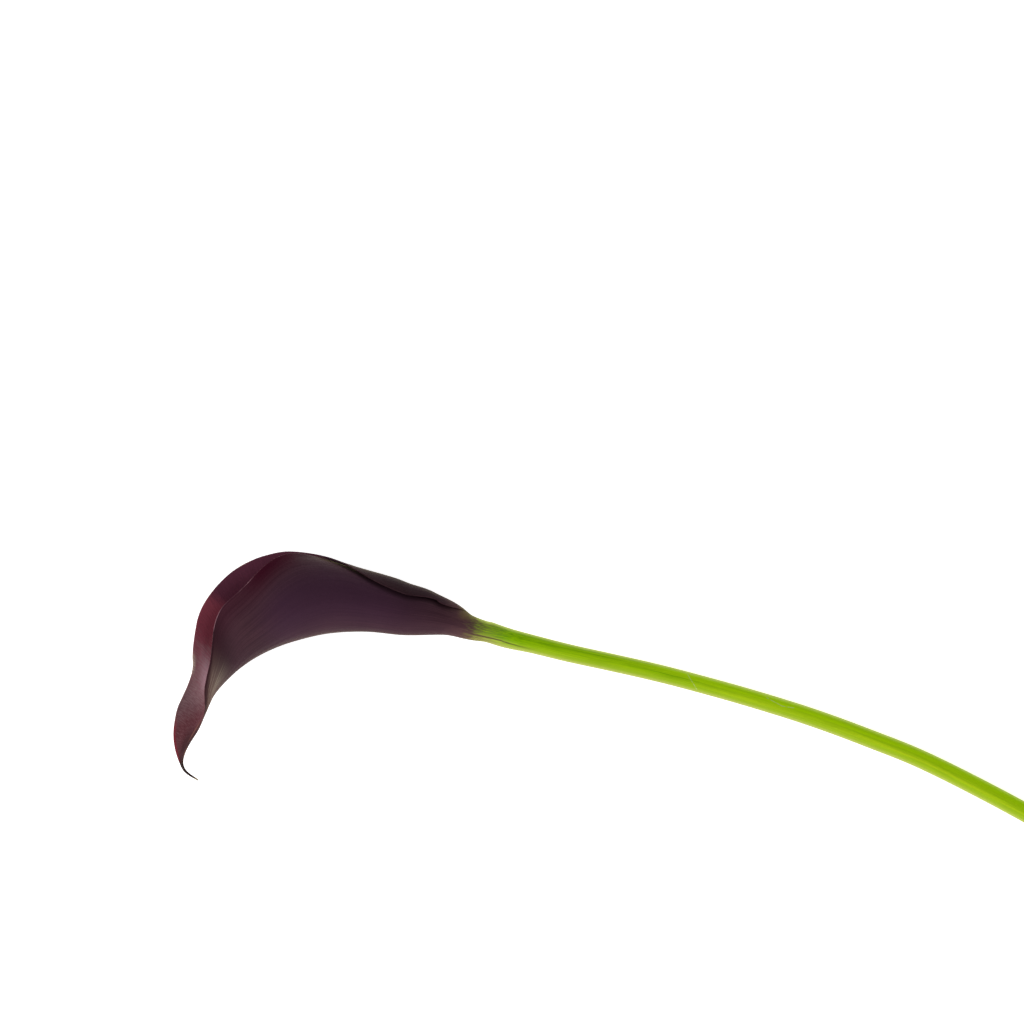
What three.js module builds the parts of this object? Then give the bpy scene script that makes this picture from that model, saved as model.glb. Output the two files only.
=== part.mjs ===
// A calla lily flower, cut and laid on its side: one large bract, the spathe, rolled into a
// funnel with a pointed tip, on a long bent stem, with the spadix standing inside the roll.
// Millimetres, +Z up, the surface that the flower lies on is z = 0.
import * as THREE from "three";

// ---- Driving dimensions ------------------------------------------------------------------

// Where the foot of the spathe lies, seen from the middle of the whole flower's footprint.
const FOOT_X = -89.2;
const FOOT_Y = 46.4;

const BLADE_THICKNESS = 0.8; // the spathe's wall
const RIM_THICKNESS = 0.6; // and at its free margins
const RIM_EXPONENT = 4; // the higher, the closer to the margins the wall starts to thin
const LAYER_OFFSET = 0.35; // the far half wraps over the near half by this change of radius
const FLARE_START = 0.62; // share of a half blade's width where its margin starts to bend out
const SEAT_GAP = 0.3; // between the stem, the spathe and the spadix

// The spathe, station by station along its midrib from the foot to the end of the tail:
// midrib x and y, height of the roll's axis, roll about the midrib, radius of the roll,
// how far the near (upper) and the far (lower) half turn from the midrib to their margins,
// and how far each margin bends back out. Lengths in mm, angles in degrees.
const SPATHE_STATIONS = [
  [3.6, -4.9, 11.6, 15, 4.1, 225, 140, 0, 0],
  [-5.0, -3.7, 11.8, 15, 4.7, 222, 158, 0, 0],
  [-12.4, -2.2, 12.3, 15, 6.7, 212, 213, 0, 0],
  [-20.4, -2.1, 12.9, 15, 9.0, 210, 213, 0, 0],
  [-31.0, -2.1, 13.9, 15, 10.5, 209, 221, 0, 0],
  [-44.0, -0.6, 15.3, 15, 11.9, 208, 209, 0, 0],
  [-58.4, -0.9, 17.0, 15, 14.8, 205, 164, 10, 10],
  [-70.0, -3.1, 18.1, 15, 17.6, 172, 142, 25, 30],
  [-81.2, -6.6, 18.5, 16, 18.6, 135, 131, 35, 50],
  [-91.2, -11.6, 18.6, 18, 17.5, 124, 122, 35, 50],
  [-99.2, -17.8, 18.7, 20, 14.5, 96, 111, 25, 35],
  [-106.0, -24.6, 18.3, 27, 12.0, 73, 74, 10, 12],
  [-110.1, -31.2, 17.7, 38, 11.0, 51, 60, 0, 0],
  [-113.6, -37.2, 16.9, 46, 11.0, 38, 52, 0, 0],
  [-117.2, -43.8, 16.1, 48, 9.0, 32, 43, 0, 0],
  [-118.9, -49.6, 15.7, 45, 6.0, 28, 32, 0, 0],
  [-118.7, -54.3, 15.3, 35, 3.0, 20, 22, 0, 0],
  [-116.8, -57.4, 14.9, 30, 1.6, 20, 20, 0, 0],
  [-112.4, -60.4, 14.7, 30, 1.0, 20, 20, 0, 0],
];
const OPEN_FROM = 6; // station where the two wrapped layers start to part
const OPEN_TO = 10; // and where both halves have the same radius
const TIP_FROM = 10; // from here to TIP_TO the height passes from the axis to the midrib
const TIP_TO = 13;
const SPATHE_ROWS = 54; // rows of facets along the midrib
const HALF_COLUMNS = 17; // columns of facets from the midrib to each margin

// The stem, from the foot of the spathe to the cut end: x, y, lift of its underside, radius.
const STEM_STATIONS = [
  [12.0, -3.6, 7.0, 4.0],
  [22.0, -6.2, 6.0, 3.75],
  [37.0, -10.0, 4.4, 3.65],
  [53.5, -13.7, 2.7, 3.6],
  [70.0, -17.5, 1.2, 3.6],
  [86.0, -21.6, 0.3, 3.6],
  [110.0, -28.3, 0, 3.65],
  [135.0, -36.1, 0, 3.7],
  [159.0, -44.9, 0, 3.75],
  [184.0, -55.2, 0, 3.8],
  [222.0, -74.8, 0, 3.9],
  [261.0, -97.5, 0, 4.0],
  [299.0, -120.8, 0, 4.1],
];
const SHOULDER_RADIUS = 4.1; // the stem's end, flush with the foot of the spathe
const STEM_SIDES = 14; // an even number, so that one side lies flat on the surface
const STEM_RINGS_PER_SPAN = 3;
const NECK_RADIUS = 2.4; // the stem's core, which carries the spathe and the spadix
const NECK_LENGTH = 9;

const SPADIX_LENGTH = 46;
const SPADIX_RADIUS = 3.0;
const SPADIX_TIP_SHARE = 0.3; // share of its length over which the tip rounds off
const SPADIX_TIP_EXPONENT = 2.4; // the higher, the blunter the tip
const SPADIX_END_SHARE = 0.12; // share of the radius that is left at the very end
const SPADIX_FLORET_RELIEF = 0.22;
const SPADIX_SIDES = 18;
const SPADIX_RINGS = 46;

const TANGENT_STEP = 1e-3; // stations to each side of a place, to find a path's direction there
const AXIS_STEPS = 600; // straight steps that stand for the axis of the roll

// ---- Interpolation -----------------------------------------------------------------------

const UP = new THREE.Vector3(0, 0, 1);
const radians = THREE.MathUtils.degToRad;
const clamp = THREE.MathUtils.clamp;

// The row of values at place t (0 to rows - 1) of a table, on a smooth curve through its rows.
function valuesAt(table, t) {
  const last = table.length - 1;
  const i = clamp(Math.floor(t), 0, last - 1);
  const f = t - i;
  return table[i].map((b, k) => {
    const c = table[i + 1][k];
    const a = i > 0 ? table[i - 1][k] : 2 * b - c;
    const d = i < last - 1 ? table[i + 2][k] : 2 * c - b;
    return 0.5 * (2 * b + (c - a) * f + (2 * a - 5 * b + 4 * c - d) * f * f
      + (3 * b - a - 3 * c + d) * f ** 3);
  });
}

// Directions across a path: side is level, and rise stands on the path and on side.
function crossDirections(tangent) {
  const side = new THREE.Vector3().crossVectors(tangent, UP).normalize();
  const rise = new THREE.Vector3().crossVectors(side, tangent);
  return { side, rise };
}

// ---- Spathe ------------------------------------------------------------------------------

// The spathe's cross-section at place t along the midrib. It starts at the midrib point and
// opens along normal; the near half leaves the midrib along binormal, the far half against it.
function spatheSection(t) {
  const last = SPATHE_STATIONS.length - 1;
  const place = (u) => {
    const [x, y, height] = valuesAt(SPATHE_STATIONS, clamp(u, 0, last));
    return new THREE.Vector3(x, y, height);
  };
  const tangent = place(t + TANGENT_STEP).sub(place(t - TANGENT_STEP)).normalize();
  const { side, rise } = crossDirections(tangent);
  const [, , , roll, radius, nearWrap, farWrap, nearFlare, farFlare] = valuesAt(SPATHE_STATIONS, t);
  const turn = radians(roll);
  const normal = side.clone().multiplyScalar(Math.cos(turn)).addScaledVector(rise, Math.sin(turn));
  const binormal = rise.clone().multiplyScalar(Math.cos(turn)).addScaledVector(side, -Math.sin(turn));
  const midrib = place(t);
  const axisShare = 1 - clamp((t - TIP_FROM) / (TIP_TO - TIP_FROM), 0, 1);
  midrib.z -= radius * Math.sin(turn) * axisShare;
  const overlap = LAYER_OFFSET * clamp(1 - (t - OPEN_FROM) / (OPEN_TO - OPEN_FROM), 0, 1);
  return {
    midrib, normal, binormal, tangent,
    near: { radius: radius - overlap, wrap: radians(nearWrap), flare: radians(nearFlare) },
    far: { radius: radius + overlap, wrap: radians(farWrap), flare: radians(farFlare) },
  };
}

// One half of a cross-section, from the midrib to its margin: it turns evenly with its width,
// less the flare near the margin. direction is 1 for the near half and -1 for the far one.
function halfSection({ midrib, normal, binormal }, { radius, wrap, flare }, direction) {
  const width = radius * wrap;
  const turnAt = (w) => {
    const flared = Math.max(0, (w - FLARE_START) / (1 - FLARE_START));
    return wrap * w - flare * flared * flared;
  };
  const points = [midrib.clone()];
  for (let j = 1; j <= HALF_COLUMNS; j++) {
    const turn = (turnAt((j - 1) / HALF_COLUMNS) + turnAt(j / HALF_COLUMNS)) / 2;
    const step = width / HALF_COLUMNS;
    points.push(points[j - 1].clone()
      .addScaledVector(binormal, direction * step * Math.cos(turn))
      .addScaledVector(normal, step * Math.sin(turn)));
  }
  return points;
}

// The outer face of the spathe as rows of points, each from the far margin to the near one.
// Where the roll would sink below the surface that it lies on, it is flat instead.
function spatheOuterFace() {
  const rows = [];
  for (let i = 0; i <= SPATHE_ROWS; i++) {
    const section = spatheSection((i / SPATHE_ROWS) * (SPATHE_STATIONS.length - 1));
    const far = halfSection(section, section.far, -1);
    const near = halfSection(section, section.near, 1);
    const row = [...far.reverse(), ...near.slice(1)];
    row.forEach((p) => (p.z = Math.max(p.z, 0)));
    rows.push(row);
  }
  return rows;
}

// The inner face: each outer point moved in by the wall's thickness, square to the face.
function insetFace(outer) {
  const lastRow = outer.length - 1;
  const lastColumn = outer[0].length - 1;
  return outer.map((row, i) => row.map((point, j) => {
    const along = outer[Math.min(i + 1, lastRow)][j].clone().sub(outer[Math.max(i - 1, 0)][j]);
    const across = row[Math.min(j + 1, lastColumn)].clone().sub(row[Math.max(j - 1, 0)]);
    const inward = along.cross(across).normalize();
    const toMargin = Math.abs((2 * j) / lastColumn - 1) ** RIM_EXPONENT;
    const thickness = THREE.MathUtils.lerp(BLADE_THICKNESS, RIM_THICKNESS, toMargin);
    return point.clone().addScaledVector(inward, thickness);
  }));
}

// ---- Closed meshes -----------------------------------------------------------------------

function closedGeometry(points, triangles) {
  const geometry = new THREE.BufferGeometry().setFromPoints(points);
  geometry.setIndex(triangles.flat());
  geometry.computeVertexNormals();
  return geometry;
}

// A sheet between two faces with the same rows of points, with walls round its border.
// Both faces are split into triangles alike, so the wall between them stays even.
function sheetGeometry(outer, inner) {
  const rows = outer.length;
  const columns = outer[0].length;
  const out = (i, j) => i * columns + j;
  const inn = (i, j) => rows * columns + out(i, j);
  const triangles = [];
  const wall = (a, b, c, d) => triangles.push([a, b, c], [a, c, d]);
  for (let i = 0; i < rows - 1; i++) {
    for (let j = 0; j < columns - 1; j++) {
      wall(out(i, j), out(i, j + 1), out(i + 1, j + 1), out(i + 1, j));
      triangles.push([inn(i, j), inn(i + 1, j + 1), inn(i, j + 1)]);
      triangles.push([inn(i, j), inn(i + 1, j), inn(i + 1, j + 1)]);
    }
    wall(out(i, 0), out(i + 1, 0), inn(i + 1, 0), inn(i, 0));
    wall(out(i + 1, columns - 1), out(i, columns - 1), inn(i, columns - 1), inn(i + 1, columns - 1));
  }
  for (let j = 0; j < columns - 1; j++) {
    wall(out(0, j + 1), out(0, j), inn(0, j), inn(0, j + 1));
    wall(out(rows - 1, j), out(rows - 1, j + 1), inn(rows - 1, j + 1), inn(rows - 1, j));
  }
  return closedGeometry([...outer.flat(), ...inner.flat()], triangles);
}

// A ring of points about centre, square to tangent, with one side straight below it.
// radiusAt gives the radius of the ring's corner k.
function ringPoints(centre, tangent, sides, radiusAt) {
  const { side, rise } = crossDirections(tangent);
  return Array.from({ length: sides }, (_, k) => {
    const angle = ((k + 0.5) / sides) * 2 * Math.PI - Math.PI / 2;
    return centre.clone()
      .addScaledVector(side, radiusAt(k) * Math.cos(angle))
      .addScaledVector(rise, radiusAt(k) * Math.sin(angle));
  });
}

// A solid through rings of points that follow each other along a path, with flat ends.
function ringGeometry(rings) {
  const sides = rings[0].length;
  const middle = (ring) => ring.reduce((sum, p) => sum.add(p), new THREE.Vector3()).divideScalar(sides);
  const points = [...rings.flat(), middle(rings[0]), middle(rings[rings.length - 1])];
  const start = points.length - 2;
  const end = points.length - 1;
  const lastRing = (rings.length - 1) * sides;
  const triangles = [];
  for (let k = 0; k < sides; k++) {
    const next = (k + 1) % sides;
    for (let i = 0; i < rings.length - 1; i++) {
      const a = i * sides;
      const b = a + sides;
      triangles.push([a + k, b + k, b + next], [a + k, b + next, a + next]);
    }
    triangles.push([start, k, next], [end, lastRing + next, lastRing + k]);
  }
  return closedGeometry(points, triangles);
}

// ---- Stem --------------------------------------------------------------------------------

// Places on the middle of the roll, each with its distance from the foot of the spathe.
function rollAxis() {
  const places = [];
  for (let i = 0; i <= AXIS_STEPS; i++) {
    const section = spatheSection((i / AXIS_STEPS) * OPEN_TO);
    const point = section.midrib.clone().addScaledVector(section.normal, section.near.radius);
    const before = places[places.length - 1];
    const distance = before ? before.distance + before.point.distanceTo(point) : 0;
    places.push({ point, distance });
  }
  return places;
}

// The point and direction at a distance along the roll's axis.
function onAxis(axis, distance) {
  const i = Math.max(1, axis.findIndex((place) => place.distance >= distance));
  const [from, to] = [axis[i - 1], axis[i]];
  const share = (distance - from.distance) / (to.distance - from.distance);
  return {
    point: from.point.clone().lerp(to.point, share),
    tangent: to.point.clone().sub(from.point).normalize(),
  };
}

// The stem's rings, from its neck inside the roll, over the flat shoulder that the foot of the
// spathe sits on, to the cut end.
function stemRings(axis) {
  const flat = Math.cos(Math.PI / STEM_SIDES); // from a ring's middle to its sides, per radius
  const outward = spatheSection(0).tangent.negate();
  const shoulder = axis[0].point.clone().addScaledVector(outward, SEAT_GAP);
  const neckEnd = onAxis(axis, NECK_LENGTH);
  const ring = (centre, tangent, radius) => ringPoints(centre, tangent, STEM_SIDES, () => radius);
  const rings = [
    ring(neckEnd.point, neckEnd.tangent.negate(), NECK_RADIUS),
    ring(onAxis(axis, NECK_LENGTH / 2).point, outward, NECK_RADIUS),
    ring(shoulder, outward, NECK_RADIUS),
    ring(shoulder, outward, SHOULDER_RADIUS),
  ];
  const lift = shoulder.z - SHOULDER_RADIUS * flat;
  const stations = [[shoulder.x, shoulder.y, lift, SHOULDER_RADIUS], ...STEM_STATIONS];
  const centreAt = (t) => {
    const [x, y, height, radius] = valuesAt(stations, t);
    return new THREE.Vector3(x, y, Math.max(height, 0) + radius * flat);
  };
  const spans = stations.length - 1;
  for (let i = 1; i <= spans * STEM_RINGS_PER_SPAN; i++) {
    const t = i / STEM_RINGS_PER_SPAN;
    const before = centreAt(t - TANGENT_STEP);
    const tangent = centreAt(Math.min(t + TANGENT_STEP, spans)).sub(before).normalize();
    rings.push(ring(centreAt(t), tangent, valuesAt(stations, t)[3]));
  }
  return rings;
}

// ---- Spadix ------------------------------------------------------------------------------

// The spadix's rings: a finger with a rounded tip, its florets raised as a chequered relief.
function spadixRings(axis) {
  const rings = [];
  for (let i = 0; i <= SPADIX_RINGS; i++) {
    const share = i / SPADIX_RINGS;
    const { point, tangent } = onAxis(axis, NECK_LENGTH + SEAT_GAP + share * SPADIX_LENGTH);
    const tip = Math.max(0, (share - 1 + SPADIX_TIP_SHARE) / SPADIX_TIP_SHARE);
    const body = SPADIX_RADIUS * Math.max(SPADIX_END_SHARE, Math.sqrt(1 - tip ** SPADIX_TIP_EXPONENT));
    const relief = i === 0 ? 0 : SPADIX_FLORET_RELIEF * Math.sqrt(1 - tip ** 2);
    rings.push(ringPoints(point, tangent, SPADIX_SIDES, (k) => body + ((i + k) % 2 ? relief : -relief)));
  }
  return rings;
}

// ---- The flower --------------------------------------------------------------------------

const finishes = {
  stem: new THREE.MeshStandardMaterial({ color: 0x9dc43c, roughness: 0.5, metalness: 0 }),
  spathe: new THREE.MeshStandardMaterial({ color: 0x3b212b, roughness: 0.45, metalness: 0 }),
  spadix: new THREE.MeshStandardMaterial({ color: 0xd79a2b, roughness: 0.7, metalness: 0 }),
};

function namedMesh(name, geometry) {
  const mesh = new THREE.Mesh(geometry, finishes[name]);
  mesh.name = name;
  return mesh;
}

const axis = rollAxis();
const outerFace = spatheOuterFace();
const flower = new THREE.Group();
flower.position.set(FOOT_X, FOOT_Y, 0);
flower.add(
  namedMesh("stem", ringGeometry(stemRings(axis))),
  namedMesh("spathe", sheetGeometry(outerFace, insetFace(outerFace))),
  namedMesh("spadix", ringGeometry(spadixRings(axis))),
);

const part = new THREE.Group();
part.add(flower);

export default part;
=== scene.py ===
"""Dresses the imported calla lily: a near-black rolled spathe, its green stem and the spadix.

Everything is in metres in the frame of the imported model, and the flower lies on z = 0. The
shapes repeat the driving dimensions of the solids, in millimetres, at a much finer step.
"""

import logging
import math
from dataclasses import dataclass
from enum import Enum, IntEnum

import bpy
import numpy as np
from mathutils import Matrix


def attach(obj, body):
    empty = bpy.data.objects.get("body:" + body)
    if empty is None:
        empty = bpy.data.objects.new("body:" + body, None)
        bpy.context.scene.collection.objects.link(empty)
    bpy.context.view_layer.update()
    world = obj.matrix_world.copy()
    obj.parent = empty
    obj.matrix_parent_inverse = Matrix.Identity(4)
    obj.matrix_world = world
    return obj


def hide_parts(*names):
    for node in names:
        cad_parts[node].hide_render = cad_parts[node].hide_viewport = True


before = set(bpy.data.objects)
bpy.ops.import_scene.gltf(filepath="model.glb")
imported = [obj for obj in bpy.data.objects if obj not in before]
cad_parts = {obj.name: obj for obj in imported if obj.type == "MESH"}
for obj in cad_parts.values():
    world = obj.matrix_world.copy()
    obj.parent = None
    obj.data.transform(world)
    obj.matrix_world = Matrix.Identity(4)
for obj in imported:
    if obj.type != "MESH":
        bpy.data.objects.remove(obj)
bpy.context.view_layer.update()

BODY = "root"
MM = 0.001
UP = np.array([0.0, 0.0, 1.0])

Socket = bpy.types.NodeSocket
Value = float | tuple[float, ...] | str | Socket | bpy.types.ID
Colour = tuple[float, float, float, float]

log = logging.getLogger("calla")


# ---- Shared helpers ----


def paint(code: str) -> Colour:
    """The linear colour of a hex code.

    Args:
        code: six hex digits, as "3b212b".

    Returns:
        Red, green, blue and an alpha of 1, for a colour socket.
    """
    parts = [int(code[i:i + 2], 16) / 255 for i in (0, 2, 4)]
    linear = [c / 12.92 if c <= 0.04045 else ((c + 0.055) / 1.055) ** 2.4 for c in parts]
    return (*linear, 1.0)


def values_at(table: np.ndarray, place: np.ndarray) -> np.ndarray:
    """Values between the rows of a table, on a smooth curve through the rows.

    Args:
        table: one row of values for each station.
        place: where to read, from 0 at the first row to the last row's number.

    Returns:
        One row of values for each place.
    """
    last = len(table) - 1
    i = np.clip(np.floor(place).astype(int), 0, last - 1)
    f = (place - i)[:, None]
    b, c = table[i], table[i + 1]
    a = np.where((i > 0)[:, None], table[np.maximum(i - 1, 0)], 2 * b - c)
    d = np.where((i < last - 1)[:, None], table[np.minimum(i + 2, last)], 2 * c - b)
    slope, bend, twist = c - a, 2 * a - 5 * b + 4 * c - d, 3 * b - a - 3 * c + d
    return 0.5 * (2 * b + slope * f + bend * f ** 2 + twist * f ** 3)


def read_off(at: np.ndarray, ticks: np.ndarray, rows: np.ndarray) -> np.ndarray:
    """Rows of values, one for each tick, read off between the ticks on straight lines."""
    return np.stack([np.interp(at, ticks, column) for column in rows.T], -1)


def unit(vectors: np.ndarray) -> np.ndarray:
    """The same directions at length 1."""
    return vectors / np.maximum(np.linalg.norm(vectors, axis=-1, keepdims=True), 1e-12)


def run_of(points: np.ndarray) -> np.ndarray:
    """How far along their line each of the points lies."""
    gaps = np.linalg.norm(np.diff(points, axis=0), axis=1)
    return np.concatenate([[0], np.cumsum(gaps)])


def smooth(value: np.ndarray, low: float, high: float) -> np.ndarray:
    """0 up to low, 1 from high on, and an even S between them."""
    share = np.clip((value - low) / (high - low), 0, 1)
    return share * share * (3 - 2 * share)


def evened(rows: np.ndarray, reach: int) -> np.ndarray:
    """Rows of values with each row averaged with its neighbours, and both ends kept.

    Args:
        rows: values whose first axis is averaged along.
        reach: how many neighbours on either side count, at least 1.

    Returns:
        The averaged rows, in the same shape.
    """
    kernel = np.hanning(2 * reach + 3)[1:-1]
    kernel /= kernel.sum()
    before = 2 * rows[:1] - rows[reach:0:-1]
    after = 2 * rows[-1:] - rows[-2:-reach - 2:-1]
    long = np.concatenate([before, rows, after])
    return sum(k * long[i:i + len(rows)] for i, k in enumerate(kernel))


def new_mesh(name: str, points: np.ndarray, faces: list, edges: list | None = None,
             scale: float = MM) -> bpy.types.Mesh:
    """A mesh from points in millimetres, or in the unit that scale gives in metres.

    Args:
        name: the mesh's name.
        points: three coordinates for each point.
        faces: the numbers of the points round each face.
        edges: pairs of points that loose edges join.
        scale: the unit of the points, in metres.

    Returns:
        The mesh.
    """
    mesh = bpy.data.meshes.new(name)
    mesh.from_pydata((np.asarray(points) * scale).tolist(), edges or [], faces)
    return mesh


def set_attribute(mesh: bpy.types.Mesh, name: str, values: np.ndarray) -> None:
    """Stores a number, or a vector, for each point of a mesh, for node trees to read by name.

    Args:
        mesh: the mesh that carries them.
        name: the attribute's name.
        values: a number or three for each point.
    """
    numbers = np.asarray(values, np.float32)
    kind, field = ("FLOAT_VECTOR", "vector") if numbers.ndim == 2 else ("FLOAT", "value")
    mesh.attributes.new(name, kind, "POINT").data.foreach_set(field, numbers.ravel())


def new_object(name: str, data: bpy.types.ID) -> bpy.types.Object:
    """An object in the scene, at the origin, that holds a mesh, a light or a camera.

    Args:
        name: the object's name.
        data: what it holds.

    Returns:
        The object.
    """
    made = bpy.data.objects.new(name, data)
    bpy.context.scene.collection.objects.link(made)
    return made


def declare(piece: bpy.types.Object, node: str) -> None:
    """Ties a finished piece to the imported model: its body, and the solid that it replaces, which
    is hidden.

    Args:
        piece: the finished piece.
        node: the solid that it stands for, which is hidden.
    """
    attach(piece, BODY)
    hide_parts(node)
    log.info("%s: %d faces", piece.name, len(piece.data.polygons))


class Wiring:
    """A node tree in the making: each call adds a node and gives its output socket back."""

    def __init__(self, tree: bpy.types.NodeTree) -> None:
        """Starts on an empty tree or one that already holds nodes."""
        self.tree = tree

    def join(self, value: Value, socket: Socket) -> None:
        """Links a socket to another one, or sets its plain value.

        Args:
            value: a socket or a plain value.
            socket: the input that takes it.
        """
        if isinstance(value, bpy.types.NodeSocket):
            self.tree.links.new(value, socket)
        else:
            socket.default_value = value

    def node(self, kind: str, inputs: dict[int | str, Value] | None = None,
             **settings: object) -> bpy.types.Node:
        """Adds a node.

        Args:
            kind: Blender's name for the node's type.
            inputs: what goes into its sockets, by number or by name.
            **settings: the node's own properties.

        Returns:
            The node.
        """
        made = self.tree.nodes.new(kind)
        for name, value in settings.items():
            setattr(made, name, value)
        for key, value in (inputs or {}).items():
            self.join(value, made.inputs[key])
        return made

    def made(self, kind: str, inputs: dict[int | str, Value] | None = None,
             **settings: object) -> Socket:
        """Adds a node, as node() does, and gives its first output."""
        return self.node(kind, inputs, **settings).outputs[0]

    def math(self, operation: str, *values: Value, clamp: bool = False) -> Socket:
        """One sum on numbers."""
        return self.made("ShaderNodeMath", dict(enumerate(values)), operation=operation,
                         use_clamp=clamp)

    def over_all(self, operation: str, *values: Value) -> Value:
        """One sum carried through all values, such as "MAXIMUM" for the greatest of them.

        Args:
            operation: Blender's name for the sum.
            *values: what it is taken over.

        Returns:
            The last sum, or a single value as it is.
        """
        total = values[0]
        for value in values[1:]:
            total = self.math(operation, total, value)
        return total

    def times(self, *values: Value) -> Value:
        """The product of all values."""
        return self.over_all("MULTIPLY", *values)

    def minus(self, value: Value, other: Value) -> Socket:
        """The first value less the second."""
        return self.math("SUBTRACT", value, other)

    def apart(self, value: Value, other: Value) -> Socket:
        """How far two values lie apart."""
        return self.math("ABSOLUTE", self.minus(value, other))

    def linear(self, value: Value, slope: Value, base: Value, clamp: bool = False) -> Socket:
        """value times slope, plus base; clamp keeps it between 0 and 1."""
        return self.math("MULTIPLY_ADD", value, slope, base, clamp=clamp)

    def step(self, value: Value, low: Value, high: Value, start: Value = 0.0,
             end: Value = 1.0) -> Socket:
        """start where value has not come to low, end from high on, an S between them.

        Low may be the greater one, and then the step goes the other way.
        """
        limits = {0: value, 1: low, 2: high, 3: start, 4: end}
        return self.made("ShaderNodeMapRange", limits, interpolation_type="SMOOTHSTEP")

    def window(self, value: Value, *limits: float) -> Value:
        """1 where every step in a row of steps is over.

        Args:
            value: what the steps are taken on.
            *limits: low and high of each step: two numbers for a single step, and four for a
                window that opens between the first two and shuts between the last two.

        Returns:
            The product of the steps.
        """
        return self.times(*(self.step(value, *pair) for pair in zip(limits[::2], limits[1::2])))

    def vector(self, operation: str, *values: Value) -> Socket:
        """One sum on vectors."""
        return self.made("ShaderNodeVectorMath", dict(enumerate(values)), operation=operation)

    def scaled(self, vector: Value, factor: Value) -> Socket:
        """A vector times a number."""
        return self.made("ShaderNodeVectorMath", {0: vector, "Scale": factor}, operation="SCALE")

    def parts(self, vector: Value) -> tuple[Socket, Socket, Socket]:
        """The three numbers of a vector."""
        return tuple(self.node("ShaderNodeSeparateXYZ", {0: vector}).outputs)

    def combine(self, x: Value, y: Value, z: Value = 0.0) -> Socket:
        """A vector from its three numbers."""
        return self.made("ShaderNodeCombineXYZ", {0: x, 1: y, 2: z})

    def off_line(self, at: Value, start: tuple[float, float], end: tuple[float, float]) -> Socket:
        """How far a point is, seen from above, from the straight line between two others.

        Args:
            at: the point.
            start: x and y of the line's one end.
            end: x and y of its other end.

        Returns:
            The distance.
        """
        along = np.subtract(end, start)
        x, y, _ = self.parts(at)
        moved = self.vector("SUBTRACT", self.combine(x, y), (*start, 0.0))
        ahead = {0: moved, 1: (*(along / along.dot(along)), 0.0)}
        share = self.node("ShaderNodeVectorMath", ahead, operation="DOT_PRODUCT").outputs["Value"]
        nearest = self.scaled((*along, 0.0), self.math("ADD", share, 0.0, clamp=True))
        off = {0: self.vector("SUBTRACT", moved, nearest)}
        return self.node("ShaderNodeVectorMath", off, operation="LENGTH").outputs["Value"]

    def noise(self, at: Value, scale: Value = 1.0, detail: float = 2.0,
              rough: float = 0.5) -> Socket:
        """Smooth noise between 0 and 1."""
        inputs = {"Vector": at, "Scale": scale, "Detail": detail, "Roughness": rough}
        return self.made("ShaderNodeTexNoise", inputs)

    def ribs(self, section: Value, run: Value, count: Value, length: Value) -> Socket:
        """Wide lengthwise ribs, 0 between them and 1 on top, alike in paint and in relief.

        Args:
            section: where a point lies in the cross-section, about -1 to 1.
            run: where it lies along the piece, in mm.
            count: how many ribs come on a unit of the section.
            length: how much the ribs change on a millimetre.

        Returns:
            The height of the ribs.
        """
        ahead = self.combine(0.0, 0.0, self.times(run, length))
        at = self.vector("ADD", self.scaled(section, count), ahead)
        return self.step(self.noise(at, 1.0, 1.0), 0.35, 0.68)

    def blend(self, share: Value, first: Value, second: Value) -> Socket:
        """A mix of two colours."""
        inputs = {0: share, 6: first, 7: second}
        return self.node("ShaderNodeMix", inputs, data_type="RGBA").outputs[2]

    def layered(self, base: Value, *layers: tuple[Value, Value]) -> Value:
        """Colours laid over a base one after another, each given as its share and its colour.

        Args:
            base: the colour under all of them.
            *layers: a share and a colour for each layer.

        Returns:
            The colour that shows.
        """
        for share, colour in layers:
            base = self.blend(share, base, colour)
        return base

    def named(self, name: str, kind: str = "FLOAT") -> Socket:
        """What each point carries under a name, in a geometry tree."""
        return self.made("GeometryNodeInputNamedAttribute", {"Name": name}, data_type=kind)

    def stored(self, geometry: Value, name: str, value: Value, kind: str = "FLOAT") -> Socket:
        """Geometry whose points carry a value under a name."""
        inputs = {"Geometry": geometry, "Name": name, "Value": value}
        return self.made("GeometryNodeStoreNamedAttribute", inputs, data_type=kind, domain="POINT")


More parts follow.
